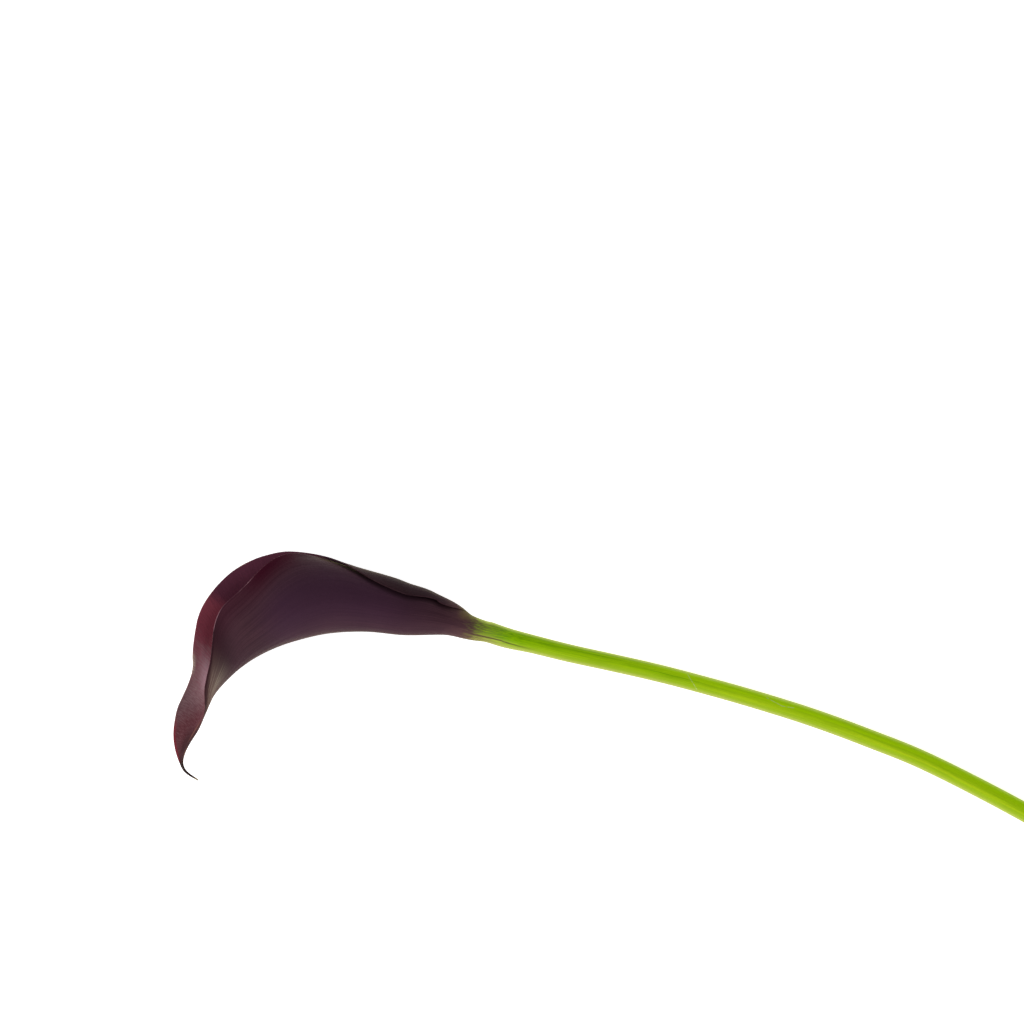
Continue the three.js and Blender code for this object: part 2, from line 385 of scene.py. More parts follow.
class Group(Wiring):
    """A node group: [label] gives one of its inputs, and put() fills its outputs."""

    def __init__(self, name: str, kind: str, inputs: dict[str, float | int | str],
                 outputs: tuple[str, ...]) -> None:
        """Makes the group with its named sockets.

        Args:
            name: the group's name.
            kind: "Shader" or "Geometry".
            inputs: for each input the number it starts with, or the type of any other socket.
            outputs: the names of the outputs: numbers in a shader group, else geometry.
        """
        super().__init__(bpy.data.node_groups.new(name, f"{kind}NodeTree"))
        sockets = self.tree.interface
        for label, start in inputs.items():
            number = {float: "Float", int: "Int"}.get(type(start))
            socket = sockets.new_socket(label, in_out="INPUT",
                                        socket_type=f"NodeSocket{number or start}")
            if number:
                socket.default_value = start
        result = "NodeSocketFloat" if kind == "Shader" else "NodeSocketGeometry"
        for label in outputs:
            sockets.new_socket(label, in_out="OUTPUT", socket_type=result)
        self.entry, self.exit = self.node("NodeGroupInput"), self.node("NodeGroupOutput")

    def __getitem__(self, label: str) -> Socket:
        """One of the group's inputs."""
        return self.entry.outputs[label]

    def put(self, **results: Value) -> None:
        """Joins each result to the output of that name."""
        for label, value in results.items():
            self.join(value, self.exit.inputs[label])

    def dress(self, geometry: Value, finish: Value) -> None:
        """Puts the geometry out as one smooth mesh in one material.

        Args:
            geometry: all of the piece.
            finish: its material.
        """
        solid = self.made("GeometryNodeRealizeInstances", {"Geometry": geometry})
        soft = self.made("GeometryNodeSetShadeSmooth", {"Geometry": solid, "Shade Smooth": True})
        dressed = {"Geometry": soft, "Material": finish}
        self.put(Geometry=self.made("GeometryNodeSetMaterial", dressed))


def applied(piece: bpy.types.Object, tree: bpy.types.NodeTree,
            settings: dict[str, Value]) -> bpy.types.Object:
    """Runs a geometry node tree on an object and keeps what it makes as a plain mesh.

    Args:
        piece: the object that the tree starts from.
        tree: the geometry node tree.
        settings: values for the tree's named inputs.

    Returns:
        The same object, with the new mesh and no modifier.
    """
    modifier = piece.modifiers.new(tree.name, "NODES")
    modifier.node_group = tree
    for item in tree.interface.items_tree:
        if item.in_out == "INPUT" and item.name in settings:
            modifier[item.identifier] = settings[item.name]
    graph = bpy.context.evaluated_depsgraph_get()
    mesh = bpy.data.meshes.new_from_object(piece.evaluated_get(graph), depsgraph=graph)
    piece.modifiers.remove(modifier)
    piece.data = mesh
    return piece


# ---- Shared effects ----

RIB_CHANGE = 0.015  # how much the spathe's ribs change on a millimetre of its length
SPATHE_RIBS = 13.0  # how many ribs come on half the blade


class Shared(Enum):
    """The effects that more than one finish uses, each one node group."""

    STREAKS = "lengthwise streaks"
    FOOT = "foot blush"
    GRAIN = "skin grain"


def streaks_group() -> bpy.types.NodeTree:
    """Fine streaks and wider ribs that run the length of a blade or a stem.

    Returns:
        The node tree.
    """
    inputs = {"Section": "Vector", "Run": 0.0, "Streaks": 40.0, "Ribs": 9.0, "Length": 0.03}
    g = Group(Shared.STREAKS.value, "Shader", inputs, ("Streak", "Rib"))
    run = g.combine(0.0, 0.0, g.times(g["Run"], g["Length"]))
    fine = g.noise(g.vector("ADD", g.scaled(g["Section"], g["Streaks"]), run), 1.0, 3.0, 0.6)
    g.put(Streak=g.step(fine, 0.3, 0.7), Rib=g.ribs(g["Section"], g["Run"], g["Ribs"], RIB_CHANGE))
    return g.tree


def foot_group() -> bpy.types.NodeTree:
    """Where the spathe passes into the stem: how far purple has given way to green.

    Its coordinates start at the foot of the spathe, with x along the stem, in metres; inside
    they are millimetres. It also gives the tan at the upper edge, the streaks that both pieces
    share there, the paler lower side, which is painted light, brown stains, and one thin purple
    line on the stem.

    Returns:
        The node tree.
    """
    g = Group(Shared.FOOT.value, "Shader",
              {"Vector": "Vector", "Edge": -2.6, "Width": 10.0, "Ragged": 5.0},
              ("Faded", "High", "Green", "Streak", "Low", "Stain", "Line"))
    run, side, height = g.parts(g.scaled(g["Vector"], 1.0 / MM))
    streak = g.noise(g.combine(g.times(run, 0.045), side, height), 2.2, 3.0, 0.6)
    bow = g.math("POWER", g.math("MINIMUM", g.apart(side, 1.2), 6.0), 2.0)
    edge = g.linear(bow, g.step(side, -1.0, 3.0, -0.05, -0.13), g["Edge"])
    past = g.minus(g.math("ADD", run, g.times(g.minus(streak, 0.5), g["Ragged"], 2.0)), edge)
    near = g.step(run, -18.0, -13.0)
    high = g.times(g.step(side, 1.8, 4.5), g.step(run, -10.5, -6.0))
    early = g.linear(high, 5.0, g.times(g.window(side, -2.0, 0.0, 2.5, 1.0), -2.5))
    faded = g.step(g.math("ADD", past, early), g.times(g["Width"], -1.2), 0.0)
    faded = g.times(faded, near)
    green = g.step(past, g.times(g["Width"], -0.4), g.times(g["Width"], 0.6))
    bend = g.minus(g.step(run, 7.0, 19.0, -2.3, -3.0), 0.25)
    wander = g.linear(g.noise(g.combine(run, 3.0), 0.35, 1.0), 0.5, bend)
    ends = g.times(g.window(run, -7.0, -3.0, 27.0, 12.0), g.step(height, 0.0, 1.0))
    g.put(
        Faded=faded,
        High=g.times(faded, high),
        Green=g.times(g.math("POWER", green, 1.7), near),
        Streak=g.step(streak, 0.3, 0.7),
        # Painted light: the lower side paler.
        Low=g.times(g.step(side, -0.8, -2.6), g.step(run, 22.0, 4.0)),
        Stain=g.times(g.step(streak, 0.6, 0.4, 0.55, 1.0), g.step(run, 17.0, -2.0), 0.85),
        Line=g.times(g.step(g.apart(side, wander), 0.36, 0.1), ends),
    )
    return g.tree


def grain_group() -> bpy.types.NodeTree:
    """The cells of the skin as a fine uneven height.

    Returns:
        The node tree.
    """
    g = Group(Shared.GRAIN.value, "Shader", {"Vector": "Vector", "Size": 0.4}, ("Height",))
    scale = g.math("DIVIDE", 1.0 / MM, g["Size"])
    cells = g.node("ShaderNodeTexVoronoi", {"Vector": g["Vector"], "Scale": scale})
    g.put(Height=g.minus(1.0, cells.outputs["Distance"]))
    return g.tree


SHARED_GROUPS = {
    Shared.STREAKS: streaks_group(), Shared.FOOT: foot_group(), Shared.GRAIN: grain_group(),
}


# ---- Finishes ----


class Skin(Wiring):
    """The node tree of one material, around its Principled shader."""

    def __init__(self, name: str) -> None:
        """Makes the material with an empty tree, a shader and an output.

        Args:
            name: the material's name.
        """
        self.material = bpy.data.materials.new(name)
        self.material.use_nodes = True
        super().__init__(self.material.node_tree)
        self.tree.nodes.clear()
        self.shader = self.node("ShaderNodeBsdfPrincipled")
        self.node("ShaderNodeOutputMaterial", {"Surface": self.shader.outputs[0]})
        self.at = self.node("ShaderNodeTexCoord").outputs["Object"]
        self.carried: dict[str, Socket] = {}

    def attribute(self, name: str, output: str = "Fac") -> Socket:
        """What the mesh stores for each point: a number, or with "Vector" a vector.

        Args:
            name: the attribute's name.
            output: the output that gives it.

        Returns:
            Its value.
        """
        if name not in self.carried:
            made = self.node("ShaderNodeAttribute", attribute_name=name)
            self.carried[name] = made.outputs[output]
        return self.carried[name]

    def normal(self) -> tuple[Socket, Socket, Socket]:
        """The three numbers of the direction that the surface faces."""
        return self.parts(self.node("ShaderNodeNewGeometry").outputs["Normal"])

    def patch(self, *shares: Value, **bounds: tuple[float, ...]) -> Value:
        """How much of a mark shows at a point.

        Args:
            *shares: numbers and sockets that go into the product as they are.
            **bounds: for attributes of the mesh, the limits of a window, as window() takes
                them.

        Returns:
            How much of it shows, 0 to 1.
        """
        windows = (self.window(self.attribute(name), *limits) for name, limits in bounds.items())
        return self.times(*shares, *windows)

    def shared(self, effect: Shared, **inputs: Value) -> bpy.types.Node:
        """One of the shared effects, with this material's values."""
        return self.node("ShaderNodeGroup", inputs, node_tree=SHARED_GROUPS[effect])

    def bump(self, height: Value, distance: float, strength: float = 1.0) -> None:
        """Gives the shader a relief of at most distance millimetres."""
        inputs = {"Height": height, "Distance": distance * MM, "Strength": strength}
        self.join(self.made("ShaderNodeBump", inputs), self.shader.inputs["Normal"])

    def set(self, **inputs: Value) -> None:
        """Sets or links the shader's sockets; an underscore in a name stands for a space."""
        for name, value in inputs.items():
            self.join(value, self.shader.inputs[name.replace("_", " ")])


@dataclass(frozen=True)
class Shine:
    """How a skin shines: how rough it is between its streaks, and the sheen of its nap."""

    roughness: float
    sheen: float
    nap: Colour
    nap_roughness: float
    specular: float = 0.03
    streaked: float = 0.1

    def dress(self, s: Skin, colour: Value, streak: Value) -> None:
        """Gives the shader its colour and this shine, rougher on the streaks.

        Args:
            s: the node tree of the material.
            colour: the skin's colour.
            streak: where its streaks are.
        """
        s.set(Base_Color=colour, Roughness=s.linear(streak, self.streaked, self.roughness),
              Specular_IOR_Level=self.specular, Sheen_Weight=self.sheen, Sheen_Tint=self.nap,
              Sheen_Roughness=self.nap_roughness)


@dataclass(frozen=True)
class Leaf:
    """The green that the foot of the spathe and the stem share."""

    green: Colour = paint("5c9600")
    light: Colour = paint("93c200")
    # pale, lower, upper, under and crest paint light and shade by the way the stalk's sides face.
    pale: Colour = paint("b3c04e")
    brown: Colour = paint("70603c")
    russet: Colour = paint("563c3c")
    purple: Colour = paint("43242c")
    ripe: Colour = paint("b9cc1c")
    lower: Colour = paint("8fa81f")
    upper: Colour = paint("a4d200")
    under: Colour = paint("a0a850")
    crest: Colour = paint("c1d35d")

    def colour(self, s: Skin, foot: bpy.types.Node, streak: Value | None = None,
               far: Value = 0.0, ripe: Value = 0.0) -> Socket:
        """The green of a leaf stalk: streaked, with light painted by the way each side faces:
        paler below, brighter above on the far stem, and a painted highlight along the crest of its
        far side.

        Args:
            s: the material that the colour is for.
            foot: the shared foot effect in it.
            streak: where the green is lighter, if not as at the foot.
            far: how far the point lies beyond the foot, 0 to 1.
            ripe: how much of the riper green of the far stem shows, 0 to 1.

        Returns:
            The colour.
        """
        shared, low = foot.outputs["Streak"], foot.outputs["Low"]
        facing = s.normal()[1]
        return s.layered(
            s.blend(shared if streak is None else streak, self.green, self.light),
            (s.times(low, s.linear(shared, 0.35, 0.45)), self.pale),
            (ripe, self.ripe),
            (s.times(s.step(facing, -0.1, 0.5), ripe, 2.0), self.upper),
            (s.times(s.step(facing, -0.1, -0.6), s.linear(low, -0.7, 0.85)), self.lower),
            (s.step(facing, -0.5, -0.95), self.under),
            (s.times(foot.outputs["Stain"], s.minus(1.0, far)), self.brown),
            (s.times(foot.outputs["Line"], 0.8), self.purple),
            (s.step(facing, 0.6, 0.98), self.crest),
        )


LEAF = Leaf()
FOOT = (-89.2, 46.4)  # the foot of the spathe, in mm from the middle of the flower's footprint
FOOT_HEIGHT = 12.0  # and its height above the table
FOOT_TURN = math.radians(13.0)  # the stem's direction there, clockwise from +X


def foot_of(s: Skin) -> bpy.types.Node:
    """The shared foot effect, fed with coordinates from the foot of the spathe.

    Args:
        s: the node tree of the material.

    Returns:
        The node of the effect.
    """
    moved = s.vector("SUBTRACT", s.at, tuple(c * MM for c in (*FOOT, FOOT_HEIGHT)))
    turn = {"Vector": moved, "Angle": FOOT_TURN, "Axis": (0.0, 0.0, 1.0)}
    turned = s.made("ShaderNodeVectorRotate", turn, rotation_type="AXIS_ANGLE")
    return s.shared(Shared.FOOT, Vector=turned)


# Painted shade: the contact shadow along the seam, the shade on the flap over it and the shaded
# strip beside the near rim.
PAINTED_SHADE = paint("170b0e")
TAIL_RED = paint("4a2026")
TAIL_DARK = paint("1c0d08")
TAIL_END = paint("8a7440")


@dataclass(frozen=True)
class SpatheFinish:
    """The spathe's satin skin: near-black aubergine that gives way to green at the foot.

    Its marks lie at places and across the blade. A place is the number of a station of the
    spathe: 0 at the foot, 8 at the wide mouth, 12 where the tip is narrow and 18 at the end of
    the tail. Across goes from -1 at the far margin to 1 at the near one.
    """

    name: str
    dark: Colour
    light: Colour
    tint: Colour
    rim: Colour
    rib: Colour
    tip: Colour
    edge: Colour
    shine: Shine
    rib_share: float
    tip_from: float
    streaks: float = 95.0
    grain: float = 0.5
    relief: float = 0.1

    def material(self) -> bpy.types.Material:
        """The finish as a material that reads the spathe's own attributes.

        Returns:
            The material.
        """
        s = Skin(self.name)
        place, across = s.attribute("place"), s.attribute("across")
        veins = s.shared(Shared.STREAKS, Section=s.combine(across, 0.0), Run=s.attribute("along"),
                         Streaks=self.streaks, Ribs=SPATHE_RIBS)
        streak, rib = self.fibres(s, veins.outputs["Streak"]), veins.outputs["Rib"]
        cloud = s.times(s.noise(s.at, 42.0, 3.0), 0.6)
        begin = s.linear(streak, 0.5, s.linear(across, 0.6, place))
        begin = s.step(begin, self.tip_from, self.tip_from + 1.3)
        tail = s.linear(across, 1.6, place)
        foot = foot_of(s)
        body = s.layered(
            s.blend(s.linear(streak, 0.34, cloud, clamp=True), self.dark, self.light),
            (self.tinted(s, streak), self.tint),
            (self.rim_light(s), self.rim),
            (s.times(self.ribbed(s, streak, rib), self.rib_share), self.rib),
            (s.times(begin, s.linear(streak, 0.6, 0.45)), self.tip),
            (s.times(s.step(tail, 10.6, 13.0), s.linear(streak, -0.3, 1.0)), TAIL_RED),
            (s.step(tail, 13.2, 16.0, 0.0, 0.6), TAIL_DARK),
            (s.patch(place=(15.0, 16.0)), TAIL_DARK),
            *self.marks(s),
            (self.shaded(s), PAINTED_SHADE),
            (self.outlined(s), self.edge),
            (s.patch(place=(17.5, 17.95)), TAIL_END),
            (s.times(foot.outputs["Faded"], 0.8), LEAF.russet),
            (s.times(foot.outputs["High"], 0.6), LEAF.brown),
            (foot.outputs["Green"], LEAF.colour(s, foot)),
        )
        self.shine.dress(s, body, streak)
        grain = s.shared(Shared.GRAIN, Vector=s.at, Size=self.grain).outputs["Height"]
        height = s.linear(streak, 0.5, s.times(rib, 0.25))
        s.bump(s.linear(grain, 0.3, height), self.relief, 0.7)
        return s.material

    def fibres(self, s: Skin, streak: Socket) -> Socket:
        """The finest pattern: streaks along the blade."""
        return streak

    def tinted(self, s: Skin, streak: Socket) -> Value:
        """Where the second body colour shows: a violet cast on the side of the roll."""
        return s.patch(0.8, place=(2.0, 5.5, 8.6, 7.2), across=(0.1, 0.5, 0.95, 0.6))

    def rim_light(self, s: Skin) -> Value:
        """Where the rim's colour shows: a painted glow, deep red along the near margin at the
        mouth, where light shines through the thin blade.

        Args:
            s: the node tree of the material.

        Returns:
            How much of it shows, 0 to 1.
        """
        below = s.step(s.attribute("place"), 8.3, 7.5, 0.45, 1.0)
        return s.patch(0.95, below, place=(6.3, 6.9, 10.6, 9.8), to_margin=(12.0, 0.0),
                       across=(0.0, 0.2))

    def ribbed(self, s: Skin, streak: Socket, rib: Socket) -> Value:
        """Where pale ribs and the fine lines between them show: in a fan above the tip.

        Args:
            s: the node tree of the material.
            streak: the fine streaks of the blade.
            rib: the wide ribs of the blade.

        Returns:
            How much of it shows, 0 to 1.
        """
        place, across = s.attribute("place"), s.attribute("across")
        at = s.combine(s.times(across, 46.0), 0.5, s.times(s.attribute("along"), RIB_CHANGE))
        line = s.step(s.apart(s.noise(at, 1.0, 1.0), 0.5), 0.13, 0.0)
        ahead = s.math("ADD", rib, s.linear(streak, 0.5, place))
        ribs = s.times(s.step(ahead, 10.7, 12.4), s.linear(rib, 0.5, 0.5),
                       s.linear(line, 0.7, 0.5), s.step(across, 0.3, 0.6, 0.5, 1.0))
        veil = s.patch(s.step(place, 9.4, 10.6, 0.0, 0.24), across=(0.3, 0.6))
        fan = s.math("MAXIMUM", ribs, veil)
        return s.patch(fan, place=(12.6, 11.8), to_margin=(0.5, 2.5))

    def marks(self, s: Skin) -> list[tuple[Value, Colour]]:
        """The marks of one face, as layers of paint: here painted shade, a dark strip beside the
        near rim where its outer face lies in shadow.

        Args:
            s: the node tree of the material.

        Returns:
            A share and a colour for each layer.
        """
        strip = s.patch(0.55, to_margin=(3.2, 0.5), place=(13.0, 12.0))
        wide = s.patch(0.38, to_margin=(22.0, 6.0), place=(10.6, 9.6))
        beside = s.math("MAXIMUM", strip, wide)
        return [(s.patch(beside, across=(0.0, 0.2), place=(8.8, 9.4)), PAINTED_SHADE)]

    def shaded(self, s: Skin) -> Value:
        """Where painted shade darkens the skin: a painted contact shadow along the seam line, and
        painted shade on the flap above it.

        Args:
            s: the node tree of the material.

        Returns:
            How much of it shows, 0 to 1.
        """
        inner = s.step(s.attribute("place"), 1.5, 4.5, 0.35, 0.55)
        flap = s.patch(inner, across=(-0.45, -0.7), place=(6.8, 4.8))
        seam = s.step(s.attribute("to_seam"), 2.2, 0.1, 0.0, 0.5)
        return s.patch(s.math("MAXIMUM", flap, seam), place=(0.9, 2.2))

    def outlined(self, s: Skin) -> Value:
        """Where the painted highlight of the margin shows: a pale line, broken up, brighter at a
        few glints.

        Args:
            s: the node tree of the material.

        Returns:
            How much of it shows, 0 to 1.
        """
        glints = s.over_all("MAXIMUM", s.patch(place=(7.75, 7.95, 8.3, 8.1)),
                            s.patch(place=(8.6, 8.9, 9.7, 9.3)),
                            s.patch(0.7, place=(10.5, 11.5, 15.8, 15.0)))
        # Noise breaks the painted highlight into pieces.
        patchy = s.step(s.noise(s.at, 150.0, 2.0), 0.35, 0.6)
        return s.patch(s.linear(glints, 0.45, 0.05), patchy, to_margin=(0.4, 0.1))


@dataclass(frozen=True)
class InnerFinish(SpatheFinish):
    """The velvety inside: dark purple in the throat, red below it, and on the tip a mauve grey,
    its own colour painted lighter for the velvet's sheen.
    """

    # The first colour is a painted highlight on the velvet, the second painted shade for the
    # hollows; flush is the red of the tip's far edge.
    velvet_highlight: Colour = paint("b894a0")
    hollow_shade: Colour = paint("2a1518")
    flush: Colour = paint("80202e")

    def fibres(self, s: Skin, streak: Socket) -> Socket:
        """The finest pattern: the nap of the velvet, in short glints across the blade.

        Args:
            s: the node tree of the material.
            streak: the fine streaks of the blade.

        Returns:
            The pattern, 0 to 1.
        """
        across, along = s.attribute("across"), s.attribute("along")
        nap = s.noise(s.combine(s.times(across, 4.0), s.times(along, 2.4)), 1.0, 3.0, 0.65)
        strength = s.step(along, 90.0, 106.0, 0.35, 0.85)
        even = s.linear(streak, 0.15, 0.425)
        return s.linear(s.minus(s.step(nap, 0.35, 0.68), 0.5), strength, even)

    def tinted(self, s: Skin, streak: Socket) -> Value:
        """Burgundy, the inside's own colour, from below the mouth down to the tip; its crisp start
        at the far rim is a painted shadow edge, and the dark purple above it stands for shade.

        Args:
            s: the node tree of the material.
            streak: the fine streaks of the blade.

        Returns:
            How much of it shows, 0 to 1.
        """
        across = s.attribute("across")
        ahead = s.linear(streak, 0.15, s.attribute("place"))
        slant = s.linear(s.math("ADD", across, 1.0), 0.85, ahead)
        low = s.step(across, -0.72, -0.45, 9.0, 7.8)
        high = s.step(across, -0.72, -0.45, 9.4, 10.5)
        return s.patch(0.9, s.step(slant, low, high), place=(12.5, 10.8))

    def rim_light(self, s: Skin) -> Value:
        """A painted highlight: a pale fleck where the far margin rolls out."""
        far = s.math("LESS_THAN", s.attribute("across"), 0.0)
        return s.patch(far, place=(10.55, 10.8, 11.25, 11.0), to_margin=(2.0, 0.4))

    def marks(self, s: Skin) -> list[tuple[Value, Colour]]:
        """A painted highlight band, painted shade in the tip's hollow, a red edge, and on the
        rolled near margin a painted highlight line and painted shade.

        Args:
            s: the node tree of the material.

        Returns:
            A share and a colour for each layer.
        """
        place, across = s.attribute("place"), s.attribute("across")
        beside = s.linear(place, -0.27, s.math("ADD", across, 2.7))
        highlit_band = s.window(beside, -1.1, -0.8, -0.4, -0.7)
        width = s.step(place, 12.5, 14.5, 2.6, 1.3)
        over = s.math("DIVIDE", s.attribute("to_margin"), width)
        near = s.patch(across=(0.0, 0.2), place=(11.9, 12.4, 16.0, 15.2))
        lit = s.step(s.apart(over, 1.25), 0.3, 0.1)
        return [
            # Painted highlight on the velvet, beside the near rim.
            (s.patch(0.42, highlit_band, place=(10.0, 10.9, 11.7, 10.9)), self.velvet_highlight),
            # Painted shade in the tip's hollow, a red edge, a painted highlight line, and painted
            # shade on the rolled near margin.
            (s.patch(0.62, place=(12.6, 14.0, 15.3, 14.7), across=(-0.6, 0.3)), self.hollow_shade),
            (s.patch(0.55, to_margin=(1.8, 0.3), across=(0.0, -0.2),
                     place=(13.2, 13.9, 16.0, 15.4)), self.flush),
            (s.patch(0.26, lit, near, place=(12.2, 13.2, 14.4, 13.4)), self.edge),
            (s.times(s.step(over, 1.0, 0.75), near, 0.85), self.hollow_shade),
        ]


@dataclass(frozen=True)
class StemFinish:
    """The stem's skin: fresh green with pale lengthwise streaks, and the pale cut face.

    Each scratch is a straight line between two points, in mm from the foot of the spathe.
    """

    name: str = "stem skin"
    flesh: Colour = paint("a9bf68")
    core: Colour = paint("c3cf8c")
    vessel: Colour = paint("66813c")
    scratch: Colour = paint("b4bd84")
    shine: Shine = Shine(0.44, 0.45, paint("e8d8b0"), 0.3)
    scratches: tuple[tuple[tuple[float, float], tuple[float, float]], ...] = (
        ((84.9, -18.8), (88.5, -24.7)), ((116.9, -28.1), (123.0, -31.4)),
        ((123.0, -31.4), (127.8, -32.2)),
    )

    def material(self) -> bpy.types.Material:
        """The finish as a material that reads the stem's own attributes.

        Returns:
            The material.
        """
        s = Skin(self.name)
        along, spoke = s.attribute("along"), s.attribute("spoke", "Vector")
        veins = s.shared(Shared.STREAKS, Section=spoke, Run=along, Streaks=9.0, Ribs=3.0,
                         Length=0.05)
        foot = foot_of(s)
        own, shared = s.step(along, 10.0, 34.0), foot.outputs["Streak"]
        streak = s.linear(own, s.minus(veins.outputs["Streak"], shared), shared)
        ripe = s.times(veins.outputs["Rib"], own, 0.3)
        ripe = s.linear(s.step(along, 20.0, 160.0), 0.35, ripe)
        skin = s.layered(
            LEAF.russet,
            (foot.outputs["Green"], LEAF.colour(s, foot, streak, own, ripe)),
            (self.scratched(s), self.scratch),
            (s.attribute("flesh"), self.cut(s, spoke)),
        )
        self.shine.dress(s, skin, streak)
        grain = s.shared(Shared.GRAIN, Vector=s.at, Size=0.35).outputs["Height"]
        s.bump(s.linear(streak, 0.6, s.times(grain, 0.3)), 0.1, 0.5)
        return s.material

    def scratched(self, s: Skin) -> Value:
        """Where the thin dry scratches on the upper side show.

        Args:
            s: the node tree of the material.

        Returns:
            How much of it shows, 0 to 1.
        """
        foot = tuple(c * MM for c in (*FOOT, 0.0))
        at = s.scaled(s.vector("SUBTRACT", s.at, foot), 1 / MM)
        off = s.over_all("MINIMUM", *(s.off_line(at, *ends) for ends in self.scratches))
        upper = s.step(s.normal()[2], 0.0, 0.2)
        patchy = s.step(s.noise(at, 1.2, 1.0), 0.3, 0.5)
        return s.times(s.step(off, 0.22, 0.08), upper, patchy, 0.6)

    def cut(self, s: Skin, spoke: Socket) -> Socket:
        """The cut face: paler in the middle, dotted with vessels, green at the skin.

        Args:
            s: the node tree of the material.
            spoke: the direction from the stem's middle line.

        Returns:
            The colour.
        """
        radial = s.attribute("radial")
        cells = s.node("ShaderNodeTexVoronoi", {"Vector": s.scaled(spoke, radial), "Scale": 5.5})
        dots = s.patch(0.75, s.step(cells.outputs["Distance"], 0.32, 0.18), radial=(0.94, 0.86))
        face = s.blend(s.step(radial, 0.95, 0.5), self.flesh, self.core)
        return s.blend(dots, face, self.vessel)


@dataclass(frozen=True)
class SpadixFinish:
    """The spadix: golden pollen over the anthers, greener ovaries at its foot."""

    name: str = "spadix florets"
    gold: Colour = paint("d99a22")
    shade: Colour = paint("8a5a1c")
    ovary: Colour = paint("8f9a3c")
    pollen: float = 2600.0
    roughness: float = 0.75
    translucency: float = 0.1

    def material(self) -> bpy.types.Material:
        """The finish as a material that reads each floret's place and height.

        Returns:
            The material.
        """
        s = Skin(self.name)
        grain = s.noise(s.at, self.pollen, 2.0)
        # Painted shade: each floret darker towards its base, and the core between them darkest.
        crown = s.times(s.attribute("crown"), 0.4)
        gold = s.blend(s.linear(grain, 0.6, crown, clamp=True), self.shade, self.gold)
        s.set(Base_Color=s.blend(s.attribute("female"), gold, self.ovary))
        s.set(Roughness=self.roughness, Subsurface_Weight=self.translucency, Subsurface_Scale=MM)
        s.bump(grain, 0.08, 0.6)
        return s.material


# ---- The spathe ----


class Side(IntEnum):
    """The two faces of the blade, numbered as the spathe's material slots."""

    OUTSIDE = 0
    INSIDE = 1


class Half(Enum):
    """The two halves of the blade, with the way that each leaves the midrib."""

    FAR = -1
    NEAR = 1


@dataclass
class Section:
    """Cross-sections of the roll: a frame at the midrib and the shape of both halves."""

    midrib: np.ndarray
    normal: np.ndarray
    binormal: np.ndarray
    tangent: np.ndarray
    radius: dict[Half, np.ndarray]
    wrap: dict[Half, np.ndarray]
    flare: dict[Half, np.ndarray]


